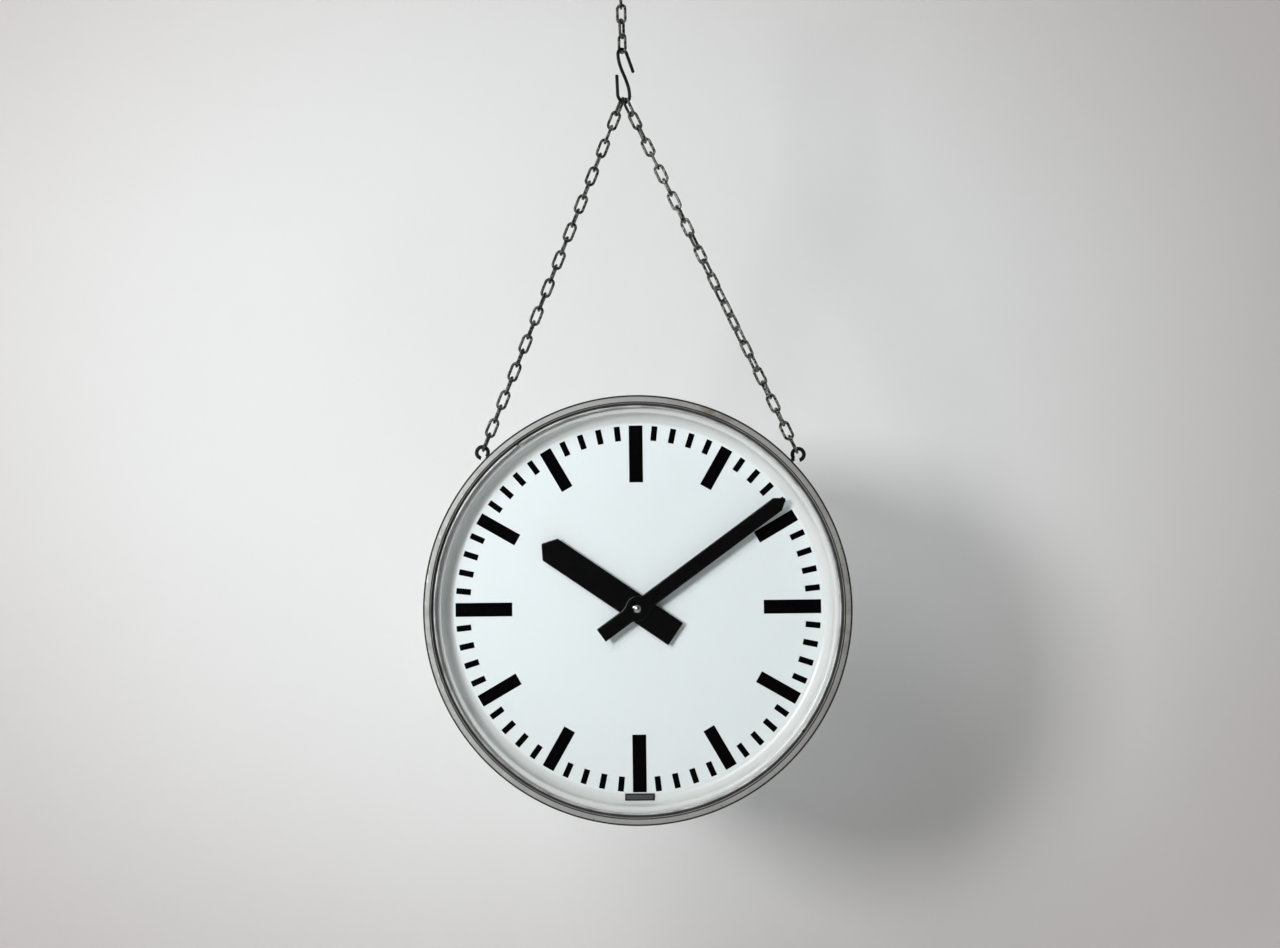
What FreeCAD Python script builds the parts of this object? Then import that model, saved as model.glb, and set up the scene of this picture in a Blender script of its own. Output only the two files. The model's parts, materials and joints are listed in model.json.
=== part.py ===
import FreeCAD, Part
import math
import os

Vector = FreeCAD.Vector

# Double sided station clock hung on chain. Millimetres, +Z up, front dial faces -Y, +X to its right.
# The origin is the centre of the ceiling plate's upper face. Clock pieces are drawn upright round
# the clock's own centre and are leaned and lowered into place at the end.

# ---- case and bezels -------------------------------------------------------------------------
case_radius = 215.0            # outside of the bezel skirt
bezel_wall = 1.5
bezel_face_width = 8.2         # flat band seen from the front
bezel_skirt_depth = 20.0
bezel_edge_round = 1.2
bezel_inner_wall = 1.4
bezel_lip_depth = 2.8          # lip that keeps the split ring in
ring_groove_depth = 1.0        # how far the groove behind the lip is cut outward
skirt_clearance = 0.2          # skirt over drum
drum_wall = 1.3
drum_flange_width = 6.0
drum_flange_thickness = 1.2

# ---- glass, its split ring and gasket -----------------------------------------------------
split_ring_bead_radius = 1.1
split_ring_bead_sides = 6      # flats that stand in for the round of the bead
split_ring_strip = 1.0         # thickness of the flat part of the split ring
split_ring_gap = 2.4
split_ring_joints = [-36.3, 125.6]   # degrees clockwise from the top, seen from the front
split_ring_width = 4.9
ring_slack = 0.3               # split ring and glass inside the groove
glass_thickness = 3.0
gasket_thickness = 1.4
gasket_width = 3.0

# ---- dial pan --------------------------------------------------------------------------------
dial_thickness = 1.0
dial_cove_radius = 10.5
dial_wall_depth = 6.5          # straight wall between the cove and the flange
dial_cove_inset = 9.3          # inner edge of the bezel to the edge of the cove
dial_flange_width = 14.0
dial_hole_radius = 6.5
print_thickness = 0.2
marks_margin = 1.0             # outer ends of the marks to the edge of the flat
minute_mark_length = 15.0
minute_mark_width = 6.0
hour_mark_length = 45.0
hour_mark_width = 12.5
quarter_mark_length = 58.0
quarter_mark_width = 14.0
label_width = 30.0
label_height = 7.2
label_thickness = 0.6
label_past_flat = 3.5          # middle of the label past the edge of the flat
label_gap = 0.3

# ---- hands -------------------------------------------------------------------------------------
hour_hand_width = 27.0
hour_hand_point = 10.0         # length of the pointed end
hour_hand_short = 24.0         # tip short of the hour marks
hour_hand_tail = 46.5
minute_hand_width = 15.5
minute_hand_point = 9.5
minute_hand_tail = 45.5
hand_tip_flat = 1.6            # width left at the very tip
hand_plate = 1.4
hand_collet_length = 2.4
hour_collet_radius = 9.0
minute_collet_radius = 7.0
minute_hub_radius = 12.7       # round middle of the minute hand
minute_hub_fillet = 10.0       # hollow corners where the bar runs into the hub
minute_collar_radius = 6.0
minute_collar_height = 1.3
hour_hand_stand_off = 6.0      # dial face to the back of the hour hand
hands_gap = 4.4                # front of the hour hand to the back of the minute hand
hand_nut_radius = 4.0
hand_nut_height = 3.4
hand_nut_cap = 1.2             # metal left over the end of the arbor
shown_time = (10, 9)           # hours, minutes

# ---- movement: one behind each dial ----------------------------------------------------------
plate_thickness = 1.5
plate_half_width = 28.0
plate_top = 24.0
plate_bottom = -48.0
movement_gap = 10.8            # between the backs of the two movements
post_length = 7.0              # dial back to the dial-side plate
pillar_length = 15.0           # between the plates
pillar_radius = 3.0
pillar_spread = 23.0
pillar_top = 19.0
pillar_bottom = -43.0
post_tip_radius = 1.45
post_tip_length = 6.6
post_hole_radius = 1.5
post_hole_depth = 6.0
plate_screw_radius = 1.2
plate_screw_length = 6.5       # thread in the pillar
yoke_screw_length = 3.5        # thread in the yoke
screw_tip_gap = 1.0            # a screw stops this short of the end of its hole
screw_head_radius = 2.4
screw_head_height = 1.8
screw_play = 0.1
slot_width = 0.6               # screwdriver slot
slot_depth = 0.7
cut_past = 5.0                 # cutters run this far past the faces they cut

running_clearance = 0.05       # radial, shaft in bearing
end_shake = 0.2
pressure_angle = 25.0
addendum = 0.85                # in modules
dedendum = 1.15                # in modules
tooth_play = 0.05              # taken off each flank, along the pitch circle

centre_teeth = 60
drive_pinion_teeth = 10
drive_module = 0.6
step_wheel_teeth = 50
rotor_pinion_teeth = 10
rotor_module = 0.5
cannon_teeth = 15
minute_wheel_teeth = 45
minute_pinion_teeth = 12
hour_wheel_teeth = 48
motion_module = 0.6

wheel_thickness = 1.6
pinion_overlap = 0.4           # a pinion stands this far past its wheel on both faces
minute_arbor_radius = 2.5
arbor_back_radius = 1.8
arbor_pivot_radius = 1.0
hand_seat_radius = 2.0
hour_pipe_radius = 4.0
hour_pipe_past_hand = 0.6
stud_radius = 1.5
stud_past_wheel = 0.5
step_arbor_radius = 1.2
step_pivot_radius = 0.8
rotor_arbor_radius = 1.0
rotor_pivot_radius = 0.7
motion_level_gap = 1.0         # between neighbouring wheels of the motion work
train_level_gap = 1.0          # between neighbouring wheels of the train
magnet_radius = 6.5
magnet_length = 4.8
magnet_air_gap = 0.9
yoke_thickness = 4.0
yoke_half_width = 17.0
yoke_wall_above_rotor = 3.6
yoke_window_half_width = 10.2
yoke_window_below_rotor = 12.0
yoke_core_below_rotor = 21.0
yoke_core_height = 6.0
yoke_screw_spread = 12.8
yoke_screw_above_rotor = 7.0
coil_radius = 8.0
bobbin_flange = 0.5
bobbin_wall = 0.8
bobbin_play = 0.1

# ---- bezel screws, cable inlet and terminals ---------------------------------------------------
bezel_screw_angles = [45.0, 135.0, 225.0, 315.0]
bezel_screw_radius = 1.5
bezel_screw_head_radius = 2.9
bezel_screw_length = 7.0
bezel_screw_inset = 15.0       # from the bezel's front face
clinch_nut_radius = 3.6
clinch_nut_height = 3.0
grommet_bore_radius = 4.0
grommet_neck_radius = 6.9
grommet_flange_radius = 9.5
grommet_flange_height = 1.5
terminal_angle = 14.0
terminal_width = 24.0
terminal_depth = 14.0
terminal_height = 12.0
terminal_screw_radius = 1.9
terminal_screw_length = 7.0
terminal_screw_sunk = 0.6      # screw heads lie this far inside their holes
terminal_screw_spread = 6.0
seat_gap = 0.25                # flat piece on the curved drum

# ---- eye bolts -----------------------------------------------------------------------------------
eye_angle = 46.0               # each side of the top of the case
eye_ring_radius = 6.0          # middle line of the wire
eye_wire_radius = 2.0
eye_ring_sweep = 300.0
eye_neck_length = 5.45         # outer nut to the middle of the eye's wire
eye_shank_inside = 9.0         # thread that stands inside the drum
eye_nut_flats = 7.0
eye_nut_height = 3.2
eye_washer_radius = 5.0
eye_washer_thickness = 1.0

# ---- chain, hooks and ceiling plate ------------------------------------------------------------
link_wire_radius = 1.5
link_inner_length = 16.0
link_outer_width = 11.5
link_play = 0.2                # slack where two wires cross
left_leg_links = 25
right_leg_links = 26
hanging_links = 4
settling_links = 3             # links that take up the twist below the hook
hook_wire_radius = 1.75
hook_height = 60.0
hook_top_bend = 6.0            # middle line of the wire
hook_bottom_bend = 8.0
hook_top_flare = 24.0          # degrees
hook_top_tail = 21.0
hook_bottom_flare = 3.0
hook_bottom_tail = 20.0
hook_turn = 40.0               # the hook's plane, degrees from the dial's plane
hook_seat_angle = 22.0         # where each leg hangs in the lower bend
leg_link_turn = -8.0           # twist of the first links off square to the hook
hanging_link_turn = 12.0
ceiling_plate_radius = 26.0
ceiling_plate_thickness = 3.0
ceiling_hole_circle = 38.0     # diameter
ceiling_hole_radius = 2.25
ceiling_hole_count = 3
ceiling_wire_radius = 2.5
ceiling_ring_radius = 8.0
ceiling_shank_length = 12.0
ceiling_shank_inset = 0.4      # end of the shank below the plate's upper face
ceiling_ring_sweep = 290.0
dial_lean = 1.0                # the dials stand this far off plumb, degrees clockwise

# ---- places that follow from the sizes above ---------------------------------------------------
drum_radius = case_radius - bezel_wall - skirt_clearance
drum_inside = drum_radius - drum_wall
lip_radius = case_radius - bezel_face_width
groove_radius = lip_radius + ring_groove_depth
cove_edge_radius = lip_radius - dial_cove_inset
dial_flat_radius = cove_edge_radius - dial_cove_radius
marks_outer_radius = dial_flat_radius - marks_margin
label_middle_radius = dial_flat_radius + label_past_flat
hour_hand_tip = marks_outer_radius - hour_mark_length - hour_hand_short
minute_hand_tip = marks_outer_radius
eye_shank_end_radius = drum_inside - eye_shank_inside
eye_nut_top = drum_radius + screw_play / 2 + eye_washer_thickness + eye_nut_height
eye_centre_radius = eye_nut_top + eye_neck_length + eye_ring_radius

glazing_depth = bezel_lip_depth + 2 * ring_slack + split_ring_strip + glass_thickness + gasket_thickness
movement_depth = post_length + 2 * plate_thickness + pillar_length + screw_head_height
bezel_half_depth = (glazing_depth + 2 * dial_thickness + dial_wall_depth + dial_cove_radius
                    + movement_depth + movement_gap / 2)
front_face_y = -bezel_half_depth
ring_front_y = front_face_y + bezel_lip_depth + 2 * ring_slack
ring_back_y = ring_front_y + split_ring_strip
glass_back_y = ring_back_y + glass_thickness
dial_flange_y = glass_back_y + gasket_thickness
drum_end_y = dial_flange_y + dial_thickness
cove_start_y = drum_end_y + dial_wall_depth
dial_face_y = cove_start_y + dial_cove_radius
dial_back_y = dial_face_y + dial_thickness
front_plate_y = dial_back_y + post_length
train_front_y = front_plate_y + plate_thickness
back_plate_y = train_front_y + pillar_length
back_plate_end_y = back_plate_y + plate_thickness

hour_hand_back_y = dial_face_y - hour_hand_stand_off
hour_hand_front_y = hour_hand_back_y - hand_plate
minute_hand_back_y = hour_hand_front_y - hands_gap
minute_hand_front_y = minute_hand_back_y - hand_plate
collar_front_y = minute_hand_front_y - minute_collar_height

drive_distance = drive_module * (centre_teeth + drive_pinion_teeth) / 2
rotor_distance = rotor_module * (step_wheel_teeth + rotor_pinion_teeth) / 2
motion_distance = motion_module * (cannon_teeth + minute_wheel_teeth) / 2
centre_axis = Vector(0, 0, 0)
step_axis = Vector(0, 0, -drive_distance)
rotor_axis = Vector(0, 0, -drive_distance - rotor_distance)
stud_axis = Vector(motion_distance, 0, 0)
coil_z = rotor_axis.z - yoke_core_below_rotor - yoke_core_height / 2

link_bend = link_outer_width / 2 - link_wire_radius
link_reach = link_inner_length / 2 + link_wire_radius      # link middle to the wire of its end
link_pitch = link_inner_length - link_play


def along_y(radius, start, end, centre=Vector()):
    """A round bar along Y from start to end."""
    return Part.makeCylinder(radius, end - start, Vector(centre.x, start, centre.z), Vector(0, 1, 0))


def box(x0, x1, y0, y1, z0, z1):
    return Part.makeBox(x1 - x0, y1 - y0, z1 - z0, Vector(x0, y0, z0))


def spun(edges, sweep=360.0):
    """Turn a closed outline, drawn at X = radius and Y = depth, round the Y axis."""
    face = Part.Face(Part.Wire(edges))
    return face.revolve(Vector(), Vector(0, 1, 0), sweep)


def corners(points):
    """Straight edges that join the points; the list is closed by its own last point."""
    return [Part.makeLine(Vector(*a, 0), Vector(*b, 0)) for a, b in zip(points, points[1:])]


def bend(start, middle, end):
    return Part.Arc(Vector(*start, 0), Vector(*middle, 0), Vector(*end, 0)).toShape()


def turned(shape, degrees, axis=Vector(0, 1, 0), centre=Vector()):
    copy = shape.copy()
    copy.rotate(centre, axis, degrees)
    return copy


def moved(shape, offset):
    copy = shape.copy()
    copy.translate(offset)
    return copy


def on_rim(shape, degrees):
    """Carry a piece from the top of the case to this clock angle."""
    return turned(shape, degrees)


def joined(shapes):
    return shapes[0].multiFuse(shapes[1:]).removeSplitter()


# ---- gear teeth ----------------------------------------------------------------------------------
def involute(angle):
    return math.tan(angle) - angle


def gear(teeth, module, start, end, centre, toward, gap_first=False):
    """A spur gear along Y whose tooth, or gap, points from its centre toward a place."""
    pitch_radius = module * teeth / 2
    base_radius = pitch_radius * math.cos(math.radians(pressure_angle))
    tip_radius = pitch_radius + addendum * module
    root_radius = pitch_radius - dedendum * module
    half_tooth = math.pi / (2 * teeth) - tooth_play / pitch_radius
    flank_start = max(base_radius, root_radius)

    def half_angle(radius):
        opening = math.acos(min(1.0, base_radius / radius))
        return half_tooth + involute(math.radians(pressure_angle)) - involute(opening)

    def at(radius, angle):
        return Vector(radius * math.sin(angle), 0, radius * math.cos(angle))

    flank_middle = (flank_start + tip_radius) / 2
    step = 2 * math.pi / teeth
    edges = []
    for tooth in range(teeth):
        middle = tooth * step
        rise = [at(r, middle - half_angle(r)) for r in (flank_start, flank_middle, tip_radius)]
        fall = [at(r, middle + half_angle(r)) for r in (tip_radius, flank_middle, flank_start)]
        root_in = at(root_radius, middle - half_angle(flank_start))
        root_out = at(root_radius, middle + half_angle(flank_start))
        next_root = at(root_radius, middle + step - half_angle(flank_start))
        if flank_start > root_radius:
            edges.append(Part.makeLine(root_in, rise[0]))
        edges.append(Part.Arc(*rise).toShape())
        edges.append(Part.Arc(rise[2], at(tip_radius, middle), fall[0]).toShape())
        edges.append(Part.Arc(*fall).toShape())
        if flank_start > root_radius:
            edges.append(Part.makeLine(fall[2], root_out))
        edges.append(Part.Arc(root_out, at(root_radius, middle + step / 2), next_root).toShape())
    body = Part.Face(Part.Wire(edges)).extrude(Vector(0, end - start, 0))
    pointing = toward - centre
    phase = math.degrees(math.atan2(pointing.x, pointing.z))
    if gap_first:
        phase += math.degrees(step / 2)
    return moved(turned(body, phase), Vector(centre.x, start, centre.z))


# ---- case ------------------------------------------------------------------------------------------
def make_bezel():
    """A pressed ring: skirt, flat face and an inner wall with a lip and a groove behind it."""
    skirt_end = front_face_y + bezel_skirt_depth
    face_back = front_face_y + bezel_wall
    inner_wall_outside = groove_radius + bezel_inner_wall
    lip_end = front_face_y + bezel_lip_depth
    skirt_inside = case_radius - bezel_wall
    diagonal = bezel_edge_round * (1 - math.sqrt(0.5))
    edge_start = (case_radius - bezel_edge_round, front_face_y)
    edge_middle = (case_radius - diagonal, front_face_y + diagonal)
    edge_end = (case_radius, front_face_y + bezel_edge_round)
    edges = [bend(edge_start, edge_middle, edge_end)]
    edges += corners([
        edge_end, (case_radius, skirt_end), (skirt_inside, skirt_end), (skirt_inside, face_back),
        (inner_wall_outside, face_back), (inner_wall_outside, dial_flange_y),
        (groove_radius, dial_flange_y), (groove_radius, lip_end), (lip_radius, lip_end),
        (lip_radius, front_face_y), edge_start])
    ring = spun(edges)
    for angle in bezel_screw_angles:
        ring = ring.cut(on_rim(bezel_screw_cutter(), angle))
    return ring


def make_drum():
    """The rolled case body with a flange turned inward at both ends."""
    flange_inside = drum_inside - drum_flange_width
    flange_end = drum_end_y + drum_flange_thickness
    drum = spun(corners([
        (drum_radius, drum_end_y), (drum_radius, -drum_end_y), (flange_inside, -drum_end_y),
        (flange_inside, -flange_end), (drum_inside, -flange_end), (drum_inside, flange_end),
        (flange_inside, flange_end), (flange_inside, drum_end_y), (drum_radius, drum_end_y)]))
    upward = Vector(0, 0, 1)
    inside = Vector(0, 0, drum_inside - cut_past)
    eye_hole = Part.makeCylinder(eye_wire_radius + screw_play, 2 * cut_past, inside, upward)
    neck_hole = Part.makeCylinder(grommet_neck_radius + screw_play, 2 * cut_past, inside, upward)
    cutters = [on_rim(eye_hole, eye_angle), on_rim(eye_hole, -eye_angle), neck_hole]
    for side in (0, 180):
        for angle in bezel_screw_angles:
            hole = on_rim(bezel_screw_cutter(), angle)
            cutters.append(turned(hole, side, Vector(0, 0, 1)))
    for cutter in cutters:
        drum = drum.cut(cutter)
    return drum


def screw_place(radius):
    return Vector(0, front_face_y + bezel_screw_inset, radius)


def bezel_screw_cutter():
    """Hole with its countersink, at the top of the case."""
    shank_radius = bezel_screw_radius + screw_play
    reach = case_radius - drum_inside + 2 * cut_past
    shank = Part.makeCylinder(shank_radius, reach, screw_place(drum_inside - cut_past), Vector(0, 0, 1))
    cone_depth = bezel_screw_head_radius - bezel_screw_radius
    cone = Part.makeCone(shank_radius, bezel_screw_head_radius + screw_play, cone_depth,
                         screw_place(case_radius - cone_depth), Vector(0, 0, 1))
    return shank.fuse(cone)


def make_bezel_screw():
    cone_depth = bezel_screw_head_radius - bezel_screw_radius
    top = case_radius - screw_play
    shank = Part.makeCylinder(bezel_screw_radius, bezel_screw_length, screw_place(top),
                              Vector(0, 0, -1))
    head = Part.makeCone(bezel_screw_radius, bezel_screw_head_radius, cone_depth,
                         screw_place(top - cone_depth), Vector(0, 0, 1))
    slot_y = screw_place(0).y
    slot = box(-cut_past, cut_past, slot_y - slot_width / 2, slot_y + slot_width / 2,
               top - slot_depth, top + cut_past)
    return joined([shank, head]).cut(slot)


def make_clinch_nut():
    """A threaded bush pressed behind the drum wall for one bezel screw."""
    corner_drop = drum_inside - math.sqrt(drum_inside ** 2 - clinch_nut_radius ** 2)
    top = drum_inside - corner_drop
    nut = Part.makeCylinder(clinch_nut_radius, clinch_nut_height, screw_place(top), Vector(0, 0, -1))
    bore = Part.makeCylinder(bezel_screw_radius, 2 * clinch_nut_height,
                             screw_place(top + 1), Vector(0, 0, -1))
    return nut.cut(bore)


# ---- glass and dial ----------------------------------------------------------------------------
def make_split_ring():
    """Two half rings with a bead on the inner edge; they spring under the bezel's lip."""
    outer = groove_radius - ring_slack
    inner = outer - split_ring_width
    bead_middle = inner + split_ring_bead_radius
    points = []
    for side in range(split_ring_bead_sides + 1):
        angle = math.pi * side / split_ring_bead_sides
        points.append((bead_middle - split_ring_bead_radius * math.cos(angle),
                       ring_front_y - split_ring_bead_radius * math.sin(angle)))
    points += [(outer, ring_front_y), (outer, ring_back_y), (inner, ring_back_y), points[0]]
    outline = corners(points)
    gap_angle = math.degrees(split_ring_gap / outer)
    halves = []
    for start, end in zip(split_ring_joints, split_ring_joints[1:] + [split_ring_joints[0] + 360]):
        half = spun(outline, end - start - gap_angle)
        # the outline lies along +X, which is 90 degrees clockwise of the top
        halves.append(turned(half, start + gap_angle / 2 - 90))
    return Part.makeCompound(halves)


def make_glass():
    return along_y(groove_radius - ring_slack, ring_back_y, glass_back_y)


def make_gasket():
    outer = groove_radius - ring_slack
    ring = along_y(outer, glass_back_y, dial_flange_y)
    return ring.cut(along_y(outer - gasket_width, glass_back_y - 1, dial_flange_y + 1))


def make_dial():
    """A pan of sheet: flat face, quarter-round cove, wall and a flange that the bezel clamps."""
    back_cove = dial_cove_radius + dial_thickness
    slant = math.sqrt(0.5)
    front_middle = (dial_flat_radius + dial_cove_radius * slant,
                    cove_start_y + dial_cove_radius * slant)
    back_middle = (dial_flat_radius + back_cove * slant, cove_start_y + back_cove * slant)
    back_edge = cove_edge_radius + dial_thickness
    flange_edge = cove_edge_radius + dial_flange_width
    edges = corners([(dial_hole_radius, dial_face_y), (dial_flat_radius, dial_face_y)])
    edges.append(bend((dial_flat_radius, dial_face_y), front_middle, (cove_edge_radius, cove_start_y)))
    edges += corners([(cove_edge_radius, cove_start_y), (cove_edge_radius, dial_flange_y),
                      (flange_edge, dial_flange_y), (flange_edge, drum_end_y),
                      (back_edge, drum_end_y), (back_edge, cove_start_y)])
    edges.append(bend((back_edge, cove_start_y), back_middle, (dial_flat_radius, dial_back_y)))
    edges += corners([(dial_flat_radius, dial_back_y), (dial_hole_radius, dial_back_y),
                      (dial_hole_radius, dial_face_y)])
    return spun(edges)


def make_dial_marks():
    """Sixty printed bars: twelve for the hours, the quarters longer, and the minutes between."""
    marks = []
    for minute in range(60):
        if minute % 15 == 0:
            length, width = quarter_mark_length, quarter_mark_width
        elif minute % 5 == 0:
            length, width = hour_mark_length, hour_mark_width
        else:
            length, width = minute_mark_length, minute_mark_width
        bar = box(-width / 2, width / 2, dial_face_y - print_thickness, dial_face_y,
                  marks_outer_radius - length, marks_outer_radius)
        marks.append(on_rim(bar, 6 * minute))
    return Part.makeCompound(marks)


def make_dial_label():
    """A blank plate on the foot of the cove, below the six."""
    inner_edge = label_middle_radius - label_height / 2 - dial_flat_radius
    outer_edge = inner_edge + label_height
    inner_rise = dial_cove_radius - math.sqrt(dial_cove_radius ** 2 - max(0, inner_edge) ** 2)
    outer_rise = dial_cove_radius - math.sqrt(dial_cove_radius ** 2 - outer_edge ** 2)
    tilt = math.degrees(math.atan2(outer_rise - inner_rise, label_height))
    middle_y = dial_face_y - (inner_rise + outer_rise) / 2 - label_gap
    plate = box(-label_width / 2, label_width / 2, -label_thickness, 0,
                -label_height / 2, label_height / 2)
    plate = turned(plate, -tilt, Vector(1, 0, 0))
    return moved(plate, Vector(0, middle_y, -label_middle_radius))


# ---- hands -------------------------------------------------------------------------------------------
def hand_blank(width, point, tip, tail, front, back):
    """A flat hand along +Z: square tail, straight sides and a blunt two-sided point."""
    half = width / 2
    shoulder = tip - point
    outline = [(-half, -tail), (half, -tail), (half, shoulder), (hand_tip_flat / 2, tip),
               (-hand_tip_flat / 2, tip), (-half, shoulder), (-half, -tail)]
    points = [Vector(x, front, z) for x, z in outline]
    return Part.Face(Part.makePolygon(points)).extrude(Vector(0, back - front, 0))


def make_hour_hand():
    blank = hand_blank(hour_hand_width, hour_hand_point, hour_hand_tip, hour_hand_tail,
                       hour_hand_front_y, hour_hand_back_y)
    collet_end = hour_hand_back_y + hand_collet_length
    collet = along_y(hour_collet_radius, hour_hand_back_y, collet_end)
    bore = along_y(hour_pipe_radius, hour_hand_front_y - cut_past, collet_end + cut_past)
    hours, minutes = shown_time
    return on_rim(joined([blank, collet]).cut(bore), 30 * hours + minutes / 2)


def hub_corners(front, back):
    """The four hollow corners between the bar of the minute hand and its round hub."""
    half = minute_hand_width / 2
    reach = minute_hub_radius + minute_hub_fillet
    centre_x = half + minute_hub_fillet
    centre_z = math.sqrt(reach ** 2 - centre_x ** 2)
    touch_x = centre_x * minute_hub_radius / reach
    block = box(half, touch_x, front, back, 0, centre_z)
    corner = block.cut(along_y(minute_hub_fillet, front, back, Vector(centre_x, 0, centre_z)))
    pair = [corner, corner.mirror(Vector(), Vector(1, 0, 0))]
    return pair + [turned(piece, 180) for piece in pair]


def make_minute_hand():
    blank = hand_blank(minute_hand_width, minute_hand_point, minute_hand_tip, minute_hand_tail,
                       minute_hand_front_y, minute_hand_back_y)
    collet_end = minute_hand_back_y + hand_collet_length
    collet = along_y(minute_collet_radius, minute_hand_back_y, collet_end)
    hub = along_y(minute_hub_radius, minute_hand_front_y, minute_hand_back_y)
    collar = along_y(minute_collar_radius, collar_front_y, minute_hand_front_y)
    bore = along_y(hand_seat_radius, collar_front_y - cut_past, collet_end + cut_past)
    pieces = [blank, hub, collet, collar] + hub_corners(minute_hand_front_y, minute_hand_back_y)
    return on_rim(joined(pieces).cut(bore), 6 * shown_time[1])


def make_hand_nut():
    """A round domed nut with a blind thread."""
    dome_start = collar_front_y - hand_nut_height / 2
    dome_height = hand_nut_height / 2
    sphere_radius = (hand_nut_radius ** 2 + dome_height ** 2) / (2 * dome_height)
    sphere_middle = Vector(0, dome_start - dome_height + sphere_radius, 0)
    ball = Part.makeSphere(sphere_radius, sphere_middle)
    bar = along_y(hand_nut_radius, collar_front_y - hand_nut_height - 1, collar_front_y)
    thread = along_y(hand_seat_radius, arbor_front_y(), collar_front_y + 1)
    return bar.common(ball).cut(thread)


def arbor_front_y():
    return collar_front_y - hand_nut_height + hand_nut_cap


# ---- movement ------------------------------------------------------------------------------------
def pillar_places():
    return [Vector(x, 0, z) for x in (-pillar_spread, pillar_spread)
            for z in (pillar_top, pillar_bottom)]


def yoke_screw_places():
    z = rotor_axis.z + yoke_screw_above_rotor
    return [Vector(x, 0, z) for x in (-yoke_screw_spread, yoke_screw_spread)]


def plate_blank(start):
    return box(-plate_half_width, plate_half_width, start, start + plate_thickness,
               plate_bottom, plate_top)


def drilled(plate, holes):
    for centre, radius in holes:
        plate = plate.cut(along_y(radius, -bezel_half_depth, bezel_half_depth, centre))
    return plate


def make_front_plate():
    """Dial-side plate with its bearings and the fixed stud of the minute wheel."""
    holes = [(centre_axis, minute_arbor_radius + running_clearance),
             (step_axis, step_pivot_radius + running_clearance),
             (rotor_axis, rotor_pivot_radius + running_clearance)]
    holes += [(place, post_tip_radius + screw_play) for place in pillar_places()]
    plate = drilled(plate_blank(front_plate_y), holes)
    stud_end = pinion_level()[0] - stud_past_wheel
    return joined([plate, along_y(stud_radius, stud_end, front_plate_y, stud_axis)])


def make_back_plate():
    holes = [(centre_axis, arbor_pivot_radius + running_clearance),
             (step_axis, step_pivot_radius + running_clearance),
             (rotor_axis, rotor_pivot_radius + running_clearance)]
    screw_hole = plate_screw_radius + screw_play
    holes += [(place, screw_hole) for place in pillar_places() + yoke_screw_places()]
    return drilled(plate_blank(back_plate_y), holes)


def make_dial_post(place):
    """A post welded to the back of the dial; its threaded tip goes through the plate."""
    post = along_y(pillar_radius, dial_back_y, front_plate_y, place)
    tip = along_y(post_tip_radius, front_plate_y, front_plate_y + post_tip_length, place)
    return joined([post, tip])


def make_pillar(place):
    pillar = along_y(pillar_radius, train_front_y, back_plate_y, place)
    front_hole = along_y(post_hole_radius, train_front_y, train_front_y + post_hole_depth, place)
    back_hole = along_y(plate_screw_radius, back_plate_y - plate_screw_length, back_plate_y, place)
    return pillar.cut(front_hole).cut(back_hole)


def make_plate_screw(place, length):
    head_end = back_plate_end_y + screw_head_height
    shank = along_y(plate_screw_radius, back_plate_end_y - length, back_plate_end_y, place)
    head = along_y(screw_head_radius, back_plate_end_y, head_end, place)
    slot = box(place.x - cut_past, place.x + cut_past, head_end - slot_depth, head_end + cut_past,
               place.z - slot_width / 2, place.z + slot_width / 2)
    return joined([shank, head]).cut(slot)


def cannon_level():
    """Cannon pinion and minute wheel, just in front of the dial-side plate."""
    end = front_plate_y - motion_level_gap
    return end - wheel_thickness, end


def hour_level():
    """Hour wheel, nearer the dial."""
    end = cannon_level()[0] - motion_level_gap
    return end - wheel_thickness, end


def pinion_level():
    return hour_level()[0] - pinion_overlap / 2, cannon_level()[0]


def centre_level():
    start = train_front_y + train_level_gap
    return start, start + wheel_thickness


def step_level():
    start = centre_level()[1] + train_level_gap
    return start, start + wheel_thickness


def widened(level):
    return level[0] - pinion_overlap, level[1] + pinion_overlap


def make_minute_arbor():
    """Centre wheel, its arbor and the cannon pinion that drives the motion work."""
    wheel_start, wheel_end = centre_level()
    hand_seat_y = minute_hand_back_y + hand_collet_length
    pieces = [gear(centre_teeth, drive_module, wheel_start, wheel_end, centre_axis, step_axis),
              gear(cannon_teeth, motion_module, *cannon_level(), centre_axis, stud_axis),
              along_y(minute_arbor_radius, hand_seat_y, wheel_start),
              along_y(hand_seat_radius, arbor_front_y(), hand_seat_y),
              along_y(arbor_back_radius, wheel_end, back_plate_y - end_shake),
              along_y(arbor_pivot_radius, back_plate_y - end_shake, back_plate_end_y)]
    return joined(pieces)


def make_minute_wheel():
    wheel = gear(minute_wheel_teeth, motion_module, *cannon_level(), stud_axis, centre_axis, True)
    pinion = gear(minute_pinion_teeth, motion_module, *pinion_level(), stud_axis, centre_axis)
    bore_radius = stud_radius + running_clearance
    bore = along_y(bore_radius, dial_back_y, front_plate_y, stud_axis)
    return joined([wheel, pinion]).cut(bore)


def make_hour_wheel():
    """Hour wheel with the pipe that carries the hour hand."""
    start, end = hour_level()
    pipe_front = hour_hand_front_y - hour_pipe_past_hand
    wheel = gear(hour_wheel_teeth, motion_module, start, end, centre_axis, stud_axis, True)
    pipe = along_y(hour_pipe_radius, pipe_front, end)
    bore = along_y(minute_arbor_radius + running_clearance, pipe_front - 1, end + 1)
    return joined([wheel, pipe]).cut(bore)


def arbor(centre, body_radius, pivot_radius):
    body = along_y(body_radius, train_front_y + end_shake, back_plate_y - end_shake, centre)
    pivots = along_y(pivot_radius, front_plate_y + end_shake, back_plate_end_y - end_shake, centre)
    return joined([body, pivots])


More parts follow.
